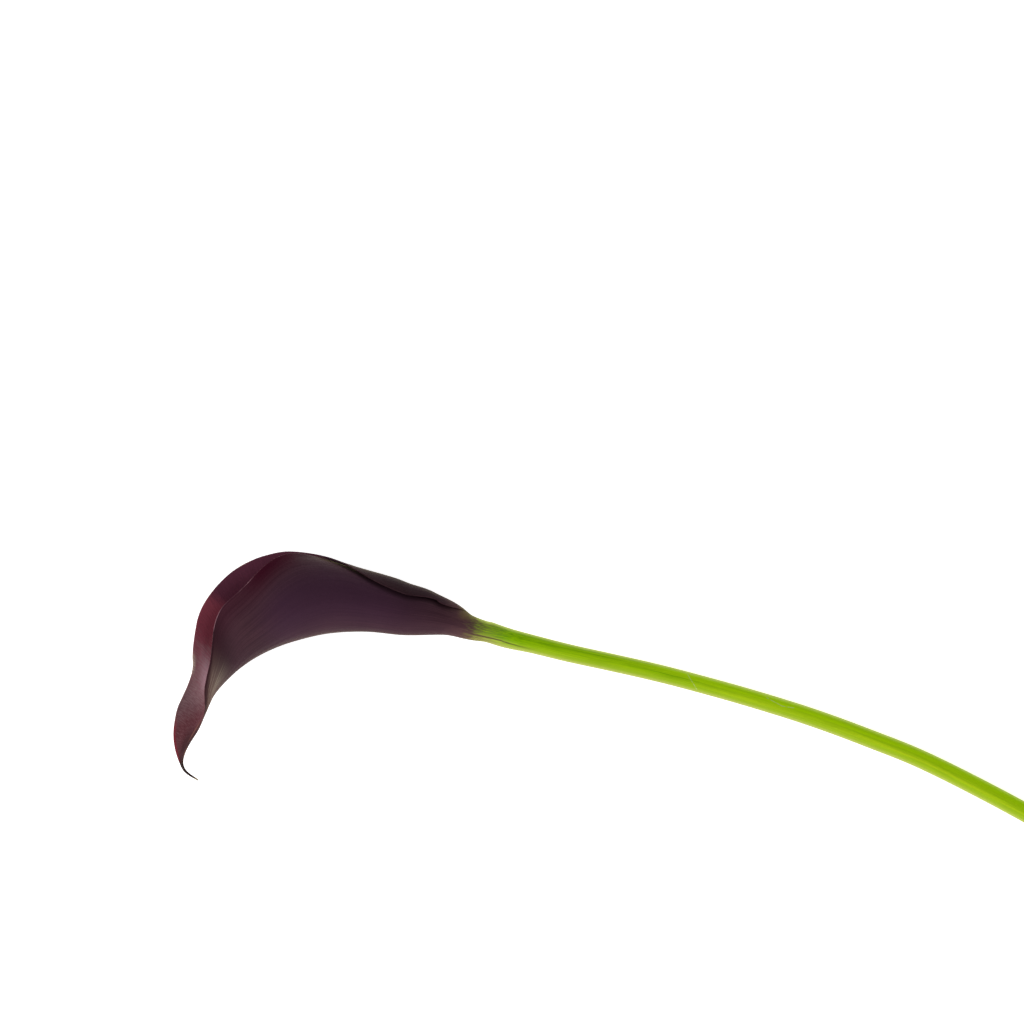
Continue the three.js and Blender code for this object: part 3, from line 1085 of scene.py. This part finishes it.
@dataclass
class Spathe:
    """The one large bract: a rolled sheet, closed at its foot and open at its flared mouth.

    The stations run along the midrib from the foot to the end of the tail: midrib x and y,
    height of the roll's axis, roll about the midrib, radius, how far the near and the far half
    turn from the midrib to their margins, and how far each margin bends back out. Lengths are
    in mm from the foot, angles in degrees, and a place is the number of a station. Fields that
    end in from, to or end are places, as are the two numbers of a layer. The waves give places
    and how far the margin stands out there, in mm.
    """

    stations: tuple[tuple[float, ...], ...] = (
        (3.6, -5.4, 11.6, 15, 4.25, 225, 140, 0, 0),
        (-5.0, -3.95, 11.8, 15, 4.75, 222, 158, 0, 0),
        (-12.4, -2.2, 12.3, 15, 6.7, 212, 213, 0, 0),
        (-20.4, -2.1, 12.9, 15, 9.0, 210, 213, 0, 0),
        (-31.0, -2.1, 13.9, 15, 10.5, 209, 221, 0, 0),
        (-44.0, -0.6, 15.3, 15, 11.9, 208, 209, 0, 0),
        (-58.4, -0.9, 17.0, 15, 14.8, 205, 164, 10, 10),
        (-70.0, -3.1, 18.1, 15, 17.6, 172, 142, 25, 30),
        (-81.2, -6.6, 18.5, 16, 18.6, 135, 131, 35, 50),
        (-91.2, -11.6, 18.6, 18, 17.5, 124, 122, 35, 50),
        (-99.2, -17.8, 18.7, 20, 14.5, 96, 111, 25, 35),
        (-106.0, -24.6, 18.3, 27, 12.0, 73, 74, 10, 12),
        (-110.1, -31.2, 17.7, 38, 11.0, 51, 60, 0, 0),
        (-113.6, -37.2, 16.9, 46, 11.0, 38, 52, 0, 0),
        (-117.2, -43.8, 16.1, 48, 9.0, 32, 43, 0, 0),
        (-118.9, -49.6, 15.7, 45, 6.0, 28, 32, 0, 0),
        (-118.7, -54.3, 15.3, 35, 3.0, 22, 24, 0, 0),
        (-116.8, -57.4, 14.9, 30, 1.6, 38, 38, 0, 0),
        (-112.4, -60.4, 14.7, 30, 1.0, 40, 40, 0, 0),
    )
    layer_offset: float = 0.35
    outer_layer: tuple[float, float] = (-0.5, 1.5)
    inner_layer: tuple[float, float] = (0.8, 2.6)
    flare_start: float = 0.62
    open_from: float = 6.0
    open_to: float = 10.0
    tip_from: float = 10.0
    tip_to: float = 13.0
    blade: float = 0.75
    rim: float = 0.4
    rim_width: float = 6.0
    tail: float = 0.65
    tail_from: float = 13.0
    tail_to: float = 16.5
    tail_end: float = 17.0
    tail_round: float = 1.02
    tail_share: float = 0.2
    foot_to: float = 1.5
    foot_share: float = 0.35
    foot_tuck: float = 0.2
    tuck_to: float = 0.8
    near_waves: tuple[tuple[float, float], ...] = (
        (7.9, 0.0), (8.35, 0.1), (8.75, 0.65), (9.15, 0.3), (9.6, -0.55), (10.05, -0.6),
        (10.5, 0.0), (10.9, 0.4), (11.2, 0.5), (11.8, 0.0),
    )
    far_waves: tuple[tuple[float, float], ...] = (
        (2.5, 0.0), (2.56, -0.9), (2.75, -0.55), (3.2, 0.1), (4.0, 0.0), (6.9, 0.0),
        (7.4, -0.35), (7.9, -0.3), (8.4, 0.0), (10.0, 0.0), (10.5, 0.75), (10.75, 0.7),
        (10.88, -0.1), (11.15, -0.5), (11.6, -0.35), (12.1, 0.0),
    )
    wave_share: float = 0.86
    wave_lean: int = 8
    evening: int = 10
    rib_depth: float = 0.12
    fold_depth: float = 0.2
    fold_at: float = 5.29
    fold_slant: float = 1.5
    rows: int = 325
    half_columns: int = 56
    edge_columns: int = 5

    def section(self, place: np.ndarray) -> Section:
        """The cross-sections at places along the midrib.

        Args:
            place: station numbers, whole or between stations.

        Returns:
            Their frames and shapes, angles in radians.
        """
        table = np.array(self.stations, float)
        last, step = len(table) - 1, 1e-3
        ahead = values_at(table[:, :3], np.clip(place + step, 0, last))
        behind = values_at(table[:, :3], np.clip(place - step, 0, last))
        tangent = unit(ahead - behind)
        side = unit(np.cross(tangent, UP))
        rise = np.cross(side, tangent)
        x, y, height, roll, radius, *bends = values_at(table, place).T
        near_wrap, far_wrap, near_flare, far_flare = np.radians(bends)
        turn = np.radians(roll)[:, None]
        normal = np.cos(turn) * side + np.sin(turn) * rise
        binormal = np.cos(turn) * rise - np.sin(turn) * side
        axis_share = 1 - np.clip((place - self.tip_from) / (self.tip_to - self.tip_from), 0, 1)
        midrib = np.stack([x, y, height - radius * np.sin(turn[:, 0]) * axis_share], 1)
        opened = np.clip(1 - (place - self.open_from) / (self.open_to - self.open_from), 0, 1)
        layer = self.layer_offset * opened
        outer = radius + layer * smooth(place, *self.outer_layer)
        inner = outer - 2 * layer * smooth(place, *self.inner_layer)
        return Section(
            midrib, normal, binormal, tangent,
            {Half.NEAR: inner, Half.FAR: outer},
            {Half.NEAR: near_wrap, Half.FAR: far_wrap},
            {Half.NEAR: near_flare, Half.FAR: far_flare},
        )

    def half(self, section: Section, which: Half, share: np.ndarray) -> np.ndarray:
        """One half of the outer face.

        Args:
            section: the cross-sections.
            which: the half that is wanted.
            share: for each section, the points' shares of the way from midrib to margin.

        Returns:
            Points as sections by shares by three coordinates.
        """
        radius, wrap, flare = section.radius[which], section.wrap[which], section.flare[which]
        flared = np.maximum(0, (share - self.flare_start) / (1 - self.flare_start))
        turn = wrap[:, None] * share - flare[:, None] * flared ** 2
        middle = (turn[:, 1:] + turn[:, :-1]) / 2
        step = np.diff(share, axis=1) * (radius * wrap)[:, None]
        start = np.zeros((len(share), 1))
        out, up = (np.concatenate([start, np.cumsum(step * way, 1)], 1)[..., None]
                   for way in (np.cos(middle), np.sin(middle)))
        sideways = which.value * out * section.binormal[:, None]
        return section.midrib[:, None] + sideways + up * section.normal[:, None]

    def shares(self, width: np.ndarray) -> np.ndarray:
        """Where the columns of one half stand, close together at the rounded margin.

        Args:
            width: the half's width in each row, in mm.

        Returns:
            Shares from 0 at the midrib to 1 at the margin, one row for each width.
        """
        edge = np.minimum(self.rim, 0.25 * width) / width
        plain = np.linspace(0, 1, self.half_columns)[None] * (1 - edge)[:, None]
        bend = np.sin(np.linspace(0, math.pi / 2, self.edge_columns + 1)[1:])[None]
        return np.concatenate([plain, 1 - edge[:, None] * (1 - bend)], 1)

    def face(self) -> tuple[np.ndarray, dict[str, np.ndarray]]:
        """The outer face of the sheet, before its margins are rounded.

        Returns:
            Points as rows by columns by three coordinates, each row from the far margin to the
            near one, and by name the numbers that every point carries.
        """
        place = np.linspace(0, len(self.stations) - 1, self.rows)
        section = self.section(place)
        ended = ((place - self.tail_end) / self.tail_round).clip(0)
        taper = np.maximum(np.sqrt(np.clip(1 - ended ** 2, 0, 1)), self.tail_share)
        found = {}
        for which in Half:
            section.wrap[which] = section.wrap[which] * taper
            width = section.radius[which] * section.wrap[which]
            share = self.shares(width)
            seam = np.full(share.shape, 99.0)  # mm, too far to count, as the seam is on one half
            if which is Half.NEAR:
                turned = section.wrap[Half.FAR][:, None] + share * section.wrap[which][:, None]
                seam = (2 * math.pi - turned) * section.radius[which][:, None]
            found[which] = (self.half(section, which, share), which.value * share,
                            (1 - share) * width[:, None], seam)
        points, across, margin, seam = (
            np.concatenate([far[:, ::-1], near[:, 1:]], 1)
            for far, near in zip(found[Half.FAR], found[Half.NEAR]))
        carried = {"across": across, "to_margin": margin, "to_seam": seam}
        for name, values in (("along", run_of(section.midrib)), ("place", place)):
            carried[name] = np.repeat(values[:, None], points.shape[1], 1)
        return self.waved(evened(points, self.evening), carried), carried

    def waved(self, points: np.ndarray, carried: dict[str, np.ndarray]) -> np.ndarray:
        """The outer face with the small waves and the nick of its margins.

        Args:
            points: the face without them, as rows by columns.
            carried: by name the numbers that every point carries.

        Returns:
            The face with them, in the same shape.
        """
        place, lean = carried["place"][:, 0], self.wave_lean
        for which, margin, inner, waves in ((Half.FAR, 0, lean, self.far_waves),
                                            (Half.NEAR, -1, -1 - lean, self.near_waves)):
            outward = unit(points[:, margin] - points[:, inner])
            shift = evened(np.interp(place, *np.array(waves).T), 1)
            share = smooth(which.value * carried["across"], self.wave_share, 1.0)
            points = points + (shift[:, None] * share)[..., None] * outward[:, None]
        return points

    def thickness(self, carried: dict[str, np.ndarray]) -> np.ndarray:
        """The blade's thickness at every point: thinner to the margins, the foot and the tail.

        Args:
            carried: by name the numbers that every point carries.

        Returns:
            The thickness in mm.
        """
        margin, place = carried["to_margin"], carried["place"]
        full = self.rim + (self.blade - self.rim) * smooth(margin, 0, self.rim_width)
        full = full + (self.tail - full) * smooth(place, self.tail_from, self.tail_to)
        return full * (self.foot_share + (1 - self.foot_share) * smooth(place, 0, self.foot_to))

    def mesh(self) -> bpy.types.Mesh:
        """The sheet as one closed mesh with rounded margins.

        Returns:
            The mesh, with the points' numbers as attributes.
        """
        outer, carried = self.face()
        rows, columns = outer.shape[:2]
        inward = unit(np.cross(np.gradient(outer, axis=0), np.gradient(outer, axis=1)))
        thick = self.thickness(carried)
        rounding = np.clip(carried["to_margin"] / np.minimum(self.rim, thick), 0, 1)
        half = thick / 2 * np.sqrt(np.clip(1 - (1 - rounding) ** 2, 0, 1))
        middle = thick / 2 + self.foot_tuck * (1 - smooth(carried["place"], 0, self.tuck_to))
        outside, inside = (outer + inward * depth[..., None]
                           for depth in (middle - half, middle + half))
        ring = np.concatenate([outside, inside[:, -2:0:-1]], 1)
        ring[..., 2] = np.maximum(ring[..., 2], 0)
        around, last = ring.shape[1], rows - 1

        def at(i: int, k: int) -> int:
            """The number of a point, from its row and its place in the ring."""
            return i * around + k % around

        faces = [[at(i, k), at(i, k + 1), at(i + 1, k + 1), at(i + 1, k)]
                 for i in range(last) for k in range(around)]
        sides = [Side.OUTSIDE if k < columns - 1 else Side.INSIDE
                 for _ in range(last) for k in range(around)]
        for j in range(columns - 1):
            for corners in ((at(0, j + 1), at(0, j), at(0, -j), at(0, -j - 1)),
                            (at(last, j), at(last, j + 1), at(last, -j - 1), at(last, -j))):
                faces.append(list(dict.fromkeys(corners)))
                sides.append(Side.OUTSIDE)
        mesh = new_mesh("spathe", ring.reshape(-1, 3) + np.array([*FOOT, 0.0]), faces)
        for name, values in carried.items():
            set_attribute(mesh, name, np.concatenate([values, values[:, -2:0:-1]], 1).ravel())
        set_attribute(mesh, "outer", np.tile(np.arange(around) < columns, rows))
        mesh.polygons.foreach_set("material_index", sides)
        mesh.polygons.foreach_set("use_smooth", [True] * len(faces))
        return mesh

    def relief(self) -> bpy.types.NodeTree:
        """Ribs that converge on the tip, and a soft fold below the rim, cut into the sheet.

        Returns:
            The node tree.
        """
        inputs = {"Geometry": "Geometry", "Rib Depth": self.rib_depth * MM,
                  "Fold Depth": self.fold_depth * MM, "Ribs": SPATHE_RIBS}
        g = Group("blade relief", "Geometry", inputs, ("Geometry",))
        place, across, margin, along, outer = (
            g.named(name) for name in ("place", "across", "to_margin", "along", "outer"))
        rib = g.ribs(g.combine(across, 0.0), along, g["Ribs"], RIB_CHANGE)
        deeper = g.step(place, 3.0, 11.0, 0.35, 1.0)
        groove = g.times(g.minus(1.0, rib), deeper, g.window(place, 1.0, 3.0, 14.5, 13.0), outer,
                         g.step(margin, 0.6, 4.0), g["Rib Depth"])
        beside = g.minus(g.linear(across, -self.fold_slant, place), self.fold_at)
        folded = g.times(g.window(beside, -1.3, -0.2, 0.12, -0.2), g.step(across, 0.55, 0.85))
        dent = g.times(folded, g.step(margin, 0.5, 2.0), outer, g["Fold Depth"])
        depth = g.times(g.math("ADD", groove, dent), -1.0)
        offset = g.scaled(g.made("GeometryNodeInputNormal"), depth)
        carved = g.made("GeometryNodeSetPosition", {"Geometry": g["Geometry"], "Offset": offset})
        g.put(Geometry=g.made("GeometryNodeRealizeInstances", {"Geometry": carved}))
        return g.tree

    def roll_axis(self, steps: int = 500) -> tuple[np.ndarray, np.ndarray]:
        """The middle of the roll, from the foot to the mouth.

        Args:
            steps: how many points the line has.

        Returns:
            The points in mm, and each one's distance from the foot.
        """
        section = self.section(np.linspace(0, self.open_to, steps))
        off = section.normal * section.radius[Half.NEAR][:, None]
        points = section.midrib + off + np.array([*FOOT, 0.0])
        return points, run_of(points)

    def build(self) -> bpy.types.Object:
        """The finished spathe.

        Returns:
            The object.
        """
        piece = new_object("spathe_blade", self.mesh())
        # Painted light in these colours: rim is a painted glow through the near margin outside and
        # a painted highlight inside, edge a painted highlight along the margins, and the inside's
        # tip is painted lighter for its sheen.
        outside = SpatheFinish(
            "spathe outside", dark=paint("26121c"), light=paint("50343c"), tint=paint("3a2234"),
            rim=paint("3a091c"), rib=paint("aea48e"), tip=paint("3e2426"), edge=paint("98707a"),
            shine=Shine(0.5, 0.3, paint("dcc898"), 0.25), rib_share=1.0, tip_from=12.0,
        )
        inside = InnerFinish(
            "spathe inside", dark=paint("3a1824"), light=paint("603244"), tint=paint("7a3845"),
            rim=paint("c9b8a4"), rib=paint("80606a"), tip=paint("7d6265"), edge=paint("906448"),
            shine=Shine(0.6, 0.15, paint("c9a9b4"), 0.4), rib_share=0.25, tip_from=9.5,
        )
        for finish in (outside, inside):
            piece.data.materials.append(finish.material())
        return applied(piece, self.relief(), {})


# ---- The stem ----


@dataclass
class Stem:
    """The bent fleshy stem, from under the foot of the spathe to its cut end.

    The stations give x and y from the foot of the spathe, the lift of the underside, and the
    radius, all in mm. The cut gives how far its rings stand ahead of the first of them, in mm,
    and their shares of the full radius.
    """

    stations: tuple[tuple[float, ...], ...] = (
        (12.0, -3.75, 7.0, 4.1),
        (22.0, -6.2, 6.0, 3.75),
        (37.0, -10.0, 4.4, 3.65),
        (53.5, -13.7, 2.7, 3.6),
        (70.0, -17.5, 1.2, 3.6),
        (86.0, -21.6, 0.3, 3.6),
        (110.0, -28.3, 0.0, 3.65),
        (135.0, -36.1, 0.0, 3.7),
        (159.0, -44.9, 0.0, 3.75),
        (184.0, -55.2, 0.0, 3.8),
        (222.0, -74.8, 0.0, 3.9),
        (261.0, -97.5, 0.0, 4.0),
        (299.0, -120.8, 0.0, 4.1),
    )
    cut: tuple[tuple[float, float], ...] = (
        (0.0, 0.995), (0.05, 0.98), (0.12, 0.94), (0.2, 0.88), (0.24, 0.7), (0.26, 0.45),
        (0.28, 0.2), (0.3, 0.01),
    )
    cut_back: float = 0.32
    shoulder_radius: float = 4.25
    seat_gap: float = 0.3
    flat_share: float = math.cos(math.pi / 14)
    reach_inside: float = 8.0
    taper_inside: float = 0.5
    taper_from: float = 2.0
    inside_step: int = 8
    sides: int = 96
    rings: int = 420
    ridges: float = 26.0
    ridge_depth: float = 0.05
    ridge_change: float = 0.004
    seed: float = 3.0

    def path(self, spathe: Spathe) -> tuple[np.ndarray, dict[str, np.ndarray]]:
        """The stem's middle line.

        Args:
            spathe: whose roll the stem starts in.

        Returns:
            The line's points in mm, and by name the numbers that each carries: the swept
            radius, how far it is cut flesh, and on the cut its share of the full radius.
        """
        axis, distance = spathe.roll_axis()
        outward = -spathe.section(np.array([0.0])).tangent[0]
        shoulder = axis[0] + outward * self.seat_gap
        lift = shoulder[2] - self.shoulder_radius * self.flat_share
        start = [*(shoulder[:2] - np.array(FOOT)), lift, self.shoulder_radius]
        table = np.array([start, *self.stations])
        x, y, lift, radius = values_at(table, np.linspace(0, len(table) - 1, self.rings)).T
        height = np.maximum(lift, 0) + radius * self.flat_share
        line = np.stack([x + FOOT[0], y + FOOT[1], height], 1)
        inner = distance < self.reach_inside
        inside, depth = (values[inner][::-self.inside_step] for values in (axis, distance))
        taper = self.taper_inside * smooth(depth, self.taper_from, self.reach_inside)
        radii = np.concatenate([(self.shoulder_radius - taper)[:-1], radius])
        ahead, shares = np.array(self.cut).T
        direction = unit(line[-1] - line[-2])
        back = line[-1] - direction * self.cut_back
        points = np.concatenate([inside[:-1], line[:-1], back + direction * ahead[:, None]])
        before = np.ones(len(points) - len(shares))
        return points, {
            "sweep": np.concatenate([radii[:-1], radii[-1] * shares]) * MM,
            "flesh": np.concatenate([before * 0, smooth(1 - shares, 0.02, 0.1)]),
            "radial": np.concatenate([before, shares]),
        }

    def tree(self) -> bpy.types.NodeTree:
        """The sweep of the stem's skin along its line, with faint lengthwise ridges.

        Returns:
            The node tree.
        """
        inputs = {"Geometry": "Geometry", "Sides": self.sides, "Ridges": self.ridges,
                  "Ridge Depth": self.ridge_depth * MM, "Seed": self.seed, "Skin": "Material"}
        g = Group("stem sweep", "Geometry", inputs, ("Geometry",))
        ring = {"Resolution": g["Sides"], "Radius": 1.0}
        circle = g.made("GeometryNodeCurvePrimitiveCircle", ring)
        spokes = g.made("GeometryNodeInputPosition")
        sweep = {"Curve": g.made("GeometryNodeMeshToCurve", {"Mesh": g["Geometry"]}),
                 "Profile Curve": g.stored(circle, "spoke", spokes, "FLOAT_VECTOR"),
                 "Scale": g.named("sweep"), "Fill Caps": True}
        skin = g.made("GeometryNodeCurveToMesh", sweep)
        ahead = g.combine(0.0, 0.0, g.linear(g.named("along"), self.ridge_change, g["Seed"]))
        at = g.vector("ADD", g.named("spoke", "FLOAT_VECTOR"), ahead)
        ridge = g.minus(g.noise(at, g.times(g["Ridges"], 0.16), 2.0), 1.0)
        depth = g.times(ridge, g["Ridge Depth"], g.minus(1.0, g.named("flesh")))
        offset = g.scaled(g.made("GeometryNodeInputNormal"), depth)
        skin = g.made("GeometryNodeSetPosition", {"Geometry": skin, "Offset": offset})
        least = (-10.0, -10.0, 0.0)  # metres: only the height is held, at the table
        lifted = g.vector("MAXIMUM", g.made("GeometryNodeInputPosition"), least)
        skin = g.made("GeometryNodeSetPosition", {"Geometry": skin, "Position": lifted})
        g.dress(skin, g["Skin"])
        return g.tree

    def build(self, spathe: Spathe) -> bpy.types.Object:
        """The finished stem.

        Args:
            spathe: whose foot the stem carries.

        Returns:
            The object.
        """
        points, carried = self.path(spathe)
        carried["along"] = run_of(points)
        edges = [(i, i + 1) for i in range(len(points) - 1)]
        mesh = new_mesh("stem", points, [], edges)
        for name, values in carried.items():
            set_attribute(mesh, name, values)
        piece = new_object("stem_skin", mesh)
        return applied(piece, self.tree(), {"Skin": StemFinish().material()})


# ---- The spadix ----


@dataclass
class Spadix:
    """The finger inside the roll, covered in florets set on a spiral.

    Lengths are in mm. The shares are parts of its length, and of its radius where they say how
    far out the smooth core and the florets stand.
    """

    start: float = 9.3
    length: float = 46.0
    radius: float = 3.0
    core_share: float = 0.86
    floret_share: float = 0.9
    tip_share: float = 0.3
    tip_power: float = 2.4
    tip_least: float = 0.02
    covered_share: float = 0.985
    florets: int = 620
    floret_size: float = 0.62
    floret_spread: tuple[float, float] = (0.88, 1.1)
    ovary_share: float = 0.24
    ovary_growth: float = 0.35
    tip_from: float = 0.75
    tip_shrink: float = 0.35
    spiral: float = math.radians(137.508)
    seed: int = 5

    def path(self, spathe: Spathe, count: int) -> tuple[np.ndarray, np.ndarray]:
        """The spadix's middle line, in mm, and the radius at each point.

        Args:
            spathe: whose roll the spadix stands in.
            count: how many points the line has.

        Returns:
            The points and the radii.
        """
        axis, distance = spathe.roll_axis()
        share = np.linspace(0, 1, count)
        line = read_off(self.start + share * self.length, distance, axis)
        tip = np.clip((share - 1 + self.tip_share) / self.tip_share, 0, 1)
        return line, self.radius * np.sqrt(np.maximum(1 - tip ** self.tip_power, self.tip_least))

    def tree(self) -> bpy.types.NodeTree:
        """A smooth core swept along a line, with a floret on each point of a second mesh.

        Returns:
            The node tree.
        """
        inputs = {"Geometry": "Geometry", "Core": "Object", "Size": self.floret_size * MM,
                  "Seed": self.seed, "Finish": "Material"}
        g = Group("spadix florets", "Geometry", inputs, ("Geometry",))
        ball = g.made("GeometryNodeMeshIcoSphere", {"Radius": 1.0, "Subdivisions": 2})
        crown = g.parts(g.made("GeometryNodeInputPosition"))[2]
        outward = {"Vector": g.named("out", "FLOAT_VECTOR")}
        turned = g.made("FunctionNodeAlignRotationToVector", outward, axis="Z")
        smallest, largest = self.floret_spread
        limits = {2: smallest, 3: largest, "Seed": g["Seed"]}
        chance = g.node("FunctionNodeRandomValue", limits, data_type="FLOAT").outputs[1]
        size = g.times(g.named("grow"), chance, g["Size"])
        buds = g.made("GeometryNodeInstanceOnPoints", {
            "Points": g["Geometry"], "Instance": g.stored(ball, "crown", crown),
            "Rotation": turned, "Scale": g.combine(size, size, size),
        })
        core = g.node("GeometryNodeObjectInfo", {"Object": g["Core"]},
                      transform_space="ORIGINAL").outputs["Geometry"]
        whole = g.node("GeometryNodeJoinGeometry")
        for part in (buds, core):
            g.join(part, whole.inputs[0])
        g.dress(whole.outputs[0], g["Finish"])
        return g.tree

    def surface(self, spathe: Spathe, share: np.ndarray, angle: np.ndarray,
                scale: float) -> tuple[np.ndarray, np.ndarray]:
        """Points on the spadix.

        Args:
            spathe: whose roll the spadix stands in.
            share: the points' shares of its length.
            angle: their angles round it, in radians.
            scale: how far out they lie, as a share of its radius.

        Returns:
            The points in mm, and the directions that lead outward there.
        """
        line, radius = self.path(spathe, 200)
        ticks = np.linspace(0, 1, len(line))
        centre = read_off(share, ticks, line)
        ahead = unit(read_off(share, ticks, unit(np.gradient(line, axis=0))))
        side = unit(np.cross(ahead, UP))
        rise = np.cross(side, ahead)
        out = np.cos(angle)[..., None] * side + np.sin(angle)[..., None] * rise
        return centre + out * (np.interp(share, ticks, radius) * scale)[..., None], out

    def core_mesh(self, spathe: Spathe, rings: int = 60, sides: int = 32) -> bpy.types.Mesh:
        """The closed finger that the florets sit on.

        Args:
            spathe: whose roll the spadix stands in.
            rings: how many rings of points it has.
            sides: how many points a ring has.

        Returns:
            The mesh.
        """
        angles = np.arange(sides) * 2 * math.pi / sides
        share, angle = np.meshgrid(np.linspace(0, 1, rings), angles, indexing="ij")
        points, _ = self.surface(spathe, share, angle, self.core_share)

        def at(i: int, k: int) -> int:
            """The number of a point, from its ring and its place in it."""
            return i * sides + k % sides

        faces = [[at(i, k), at(i + 1, k), at(i + 1, k + 1), at(i, k + 1)]
                 for i in range(rings - 1) for k in range(sides)]
        faces += [[at(0, k) for k in range(sides)],
                  [at(rings - 1, k) for k in reversed(range(sides))]]
        mesh = new_mesh("spadix core", points.reshape(-1, 3), faces)
        # The lowest crown paints the core in the darkest painted shade.
        set_attribute(mesh, "crown", np.full(rings * sides, -1.0))
        set_attribute(mesh, "female", smooth(self.ovary_share - share, -0.02, 0.02).ravel())
        return mesh

    def build(self, spathe: Spathe) -> bpy.types.Object:
        """The finished spadix.

        Args:
            spathe: whose roll the spadix stands in.

        Returns:
            The object.
        """
        number = np.arange(self.florets) + 0.5
        share = number / self.florets * self.covered_share
        points, out = self.surface(spathe, share, number * self.spiral, self.floret_share)
        seeds = new_mesh("spadix", points, [])
        female = smooth(self.ovary_share - share, -0.01, 0.01)
        tip = 1 - self.tip_shrink * smooth(share, self.tip_from, 1.0)
        set_attribute(seeds, "out", out)
        set_attribute(seeds, "female", female)
        set_attribute(seeds, "grow", tip * (1 + self.ovary_growth * female))
        piece = new_object("spadix_finger", seeds)
        core = new_object("spadix_core", self.core_mesh(spathe))
        applied(piece, self.tree(), {"Core": core, "Finish": SpadixFinish().material()})
        bpy.data.objects.remove(core)
        return piece


# ---- The studio ----


@dataclass(frozen=True)
class Softbox:
    """A square soft light: where it hangs and its side in metres, and its power in watts."""

    name: str
    at: tuple[float, float, float]
    size: float
    power: float


@dataclass
class Studio:
    """A plain white table under soft light, with the camera straight above the flower."""

    floor_size: float = 6.0
    floor_glow: float = 0.75
    camera_at: tuple[float, float, float] = (-0.0756, 0.0936, 1.020)
    sensor: float = 36.0
    view_width: float = 0.4096
    view_distance: float = 1.0
    clip: tuple[float, float] = (0.01, 20.0)
    aim: tuple[float, float, float] = (-0.1, 0.02, 0.0)
    softboxes: tuple[Softbox, ...] = (
        Softbox("left softbox", (-0.9, 0.1, 0.45), 0.7, 6.0),
        Softbox("front softbox", (0.1, -0.9, 0.35), 0.8, 4.0),
    )

    def camera(self) -> None:
        """The camera: it looks straight down, with the top of the picture towards +Y."""
        data = bpy.data.cameras.new("camera")
        data.sensor_width = self.sensor
        data.lens = self.sensor * self.view_distance / self.view_width
        data.clip_start, data.clip_end = self.clip
        made = new_object("camera", data)
        made.location = self.camera_at
        bpy.context.scene.camera = made

    def floor(self) -> None:
        """A white table that glows a little, so that it stays white under the flower."""
        corners = [(-1, -1, 0), (1, -1, 0), (1, 1, 0), (-1, 1, 0)]
        mesh = new_mesh("floor", corners, [[0, 1, 2, 3]], scale=self.floor_size / 2)
        s = Skin("white table")
        s.set(Base_Color=(0.8, 0.8, 0.8, 1.0), Roughness=0.9, Specular_IOR_Level=0.0,
              Emission_Color=(1.0, 1.0, 1.0, 1.0), Emission_Strength=self.floor_glow)
        mesh.materials.append(s.material)
        new_object("floor", mesh)

    def world(self) -> None:
        """Light from all round: white at the horizon, brightest at the front left above it."""
        world = bpy.data.worlds.new("studio")
        world.use_nodes = True
        bpy.context.scene.world = world
        w = Wiring(world.node_tree)
        world.node_tree.nodes.clear()
        x, y, height = w.parts(w.node("ShaderNodeTexCoord").outputs["Generated"])
        towards = w.linear(x, -0.5, w.times(y, -0.85))
        side = w.step(towards, -0.6, 0.7, 0.25, 1.3)
        above = w.step(height, 0.3, 0.9, side, 0.42)
        level = w.step(height, 0.13, 0.3, 1.0, above)
        background = w.made("ShaderNodeBackground", {"Color": w.combine(level, level, level),
                                                     "Strength": 1.0})
        w.node("ShaderNodeOutputWorld", {"Surface": background})

    def light(self, box: Softbox) -> None:
        """Hangs up one soft light, turned to the flower.

        Args:
            box: the light's name, place, size and power.
        """
        data = bpy.data.lights.new(box.name, "AREA")
        data.size, data.energy = box.size, box.power
        made = new_object(box.name, data)
        made.location = box.at
        x, y, z = np.subtract(self.aim, box.at)
        tilt, turn = math.atan2(math.hypot(x, y), -z), math.atan2(y, x) - math.pi / 2
        made.rotation_euler = (tilt, 0, turn)

    def build(self) -> None:
        """Sets up the whole studio."""
        self.camera()
        self.floor()
        self.world()
        for box in self.softboxes:
            self.light(box)
        bpy.context.scene.view_settings.view_transform = "Standard"


def main() -> None:
    """Builds the studio and the flower's three pieces."""
    logging.basicConfig(level=logging.INFO, format="%(message)s")
    Studio().build()
    spathe = Spathe()
    declare(spathe.build(), "spathe")
    declare(Stem().build(spathe), "stem")
    declare(Spadix().build(spathe), "spadix")


if __name__ == "__main__":
    main()
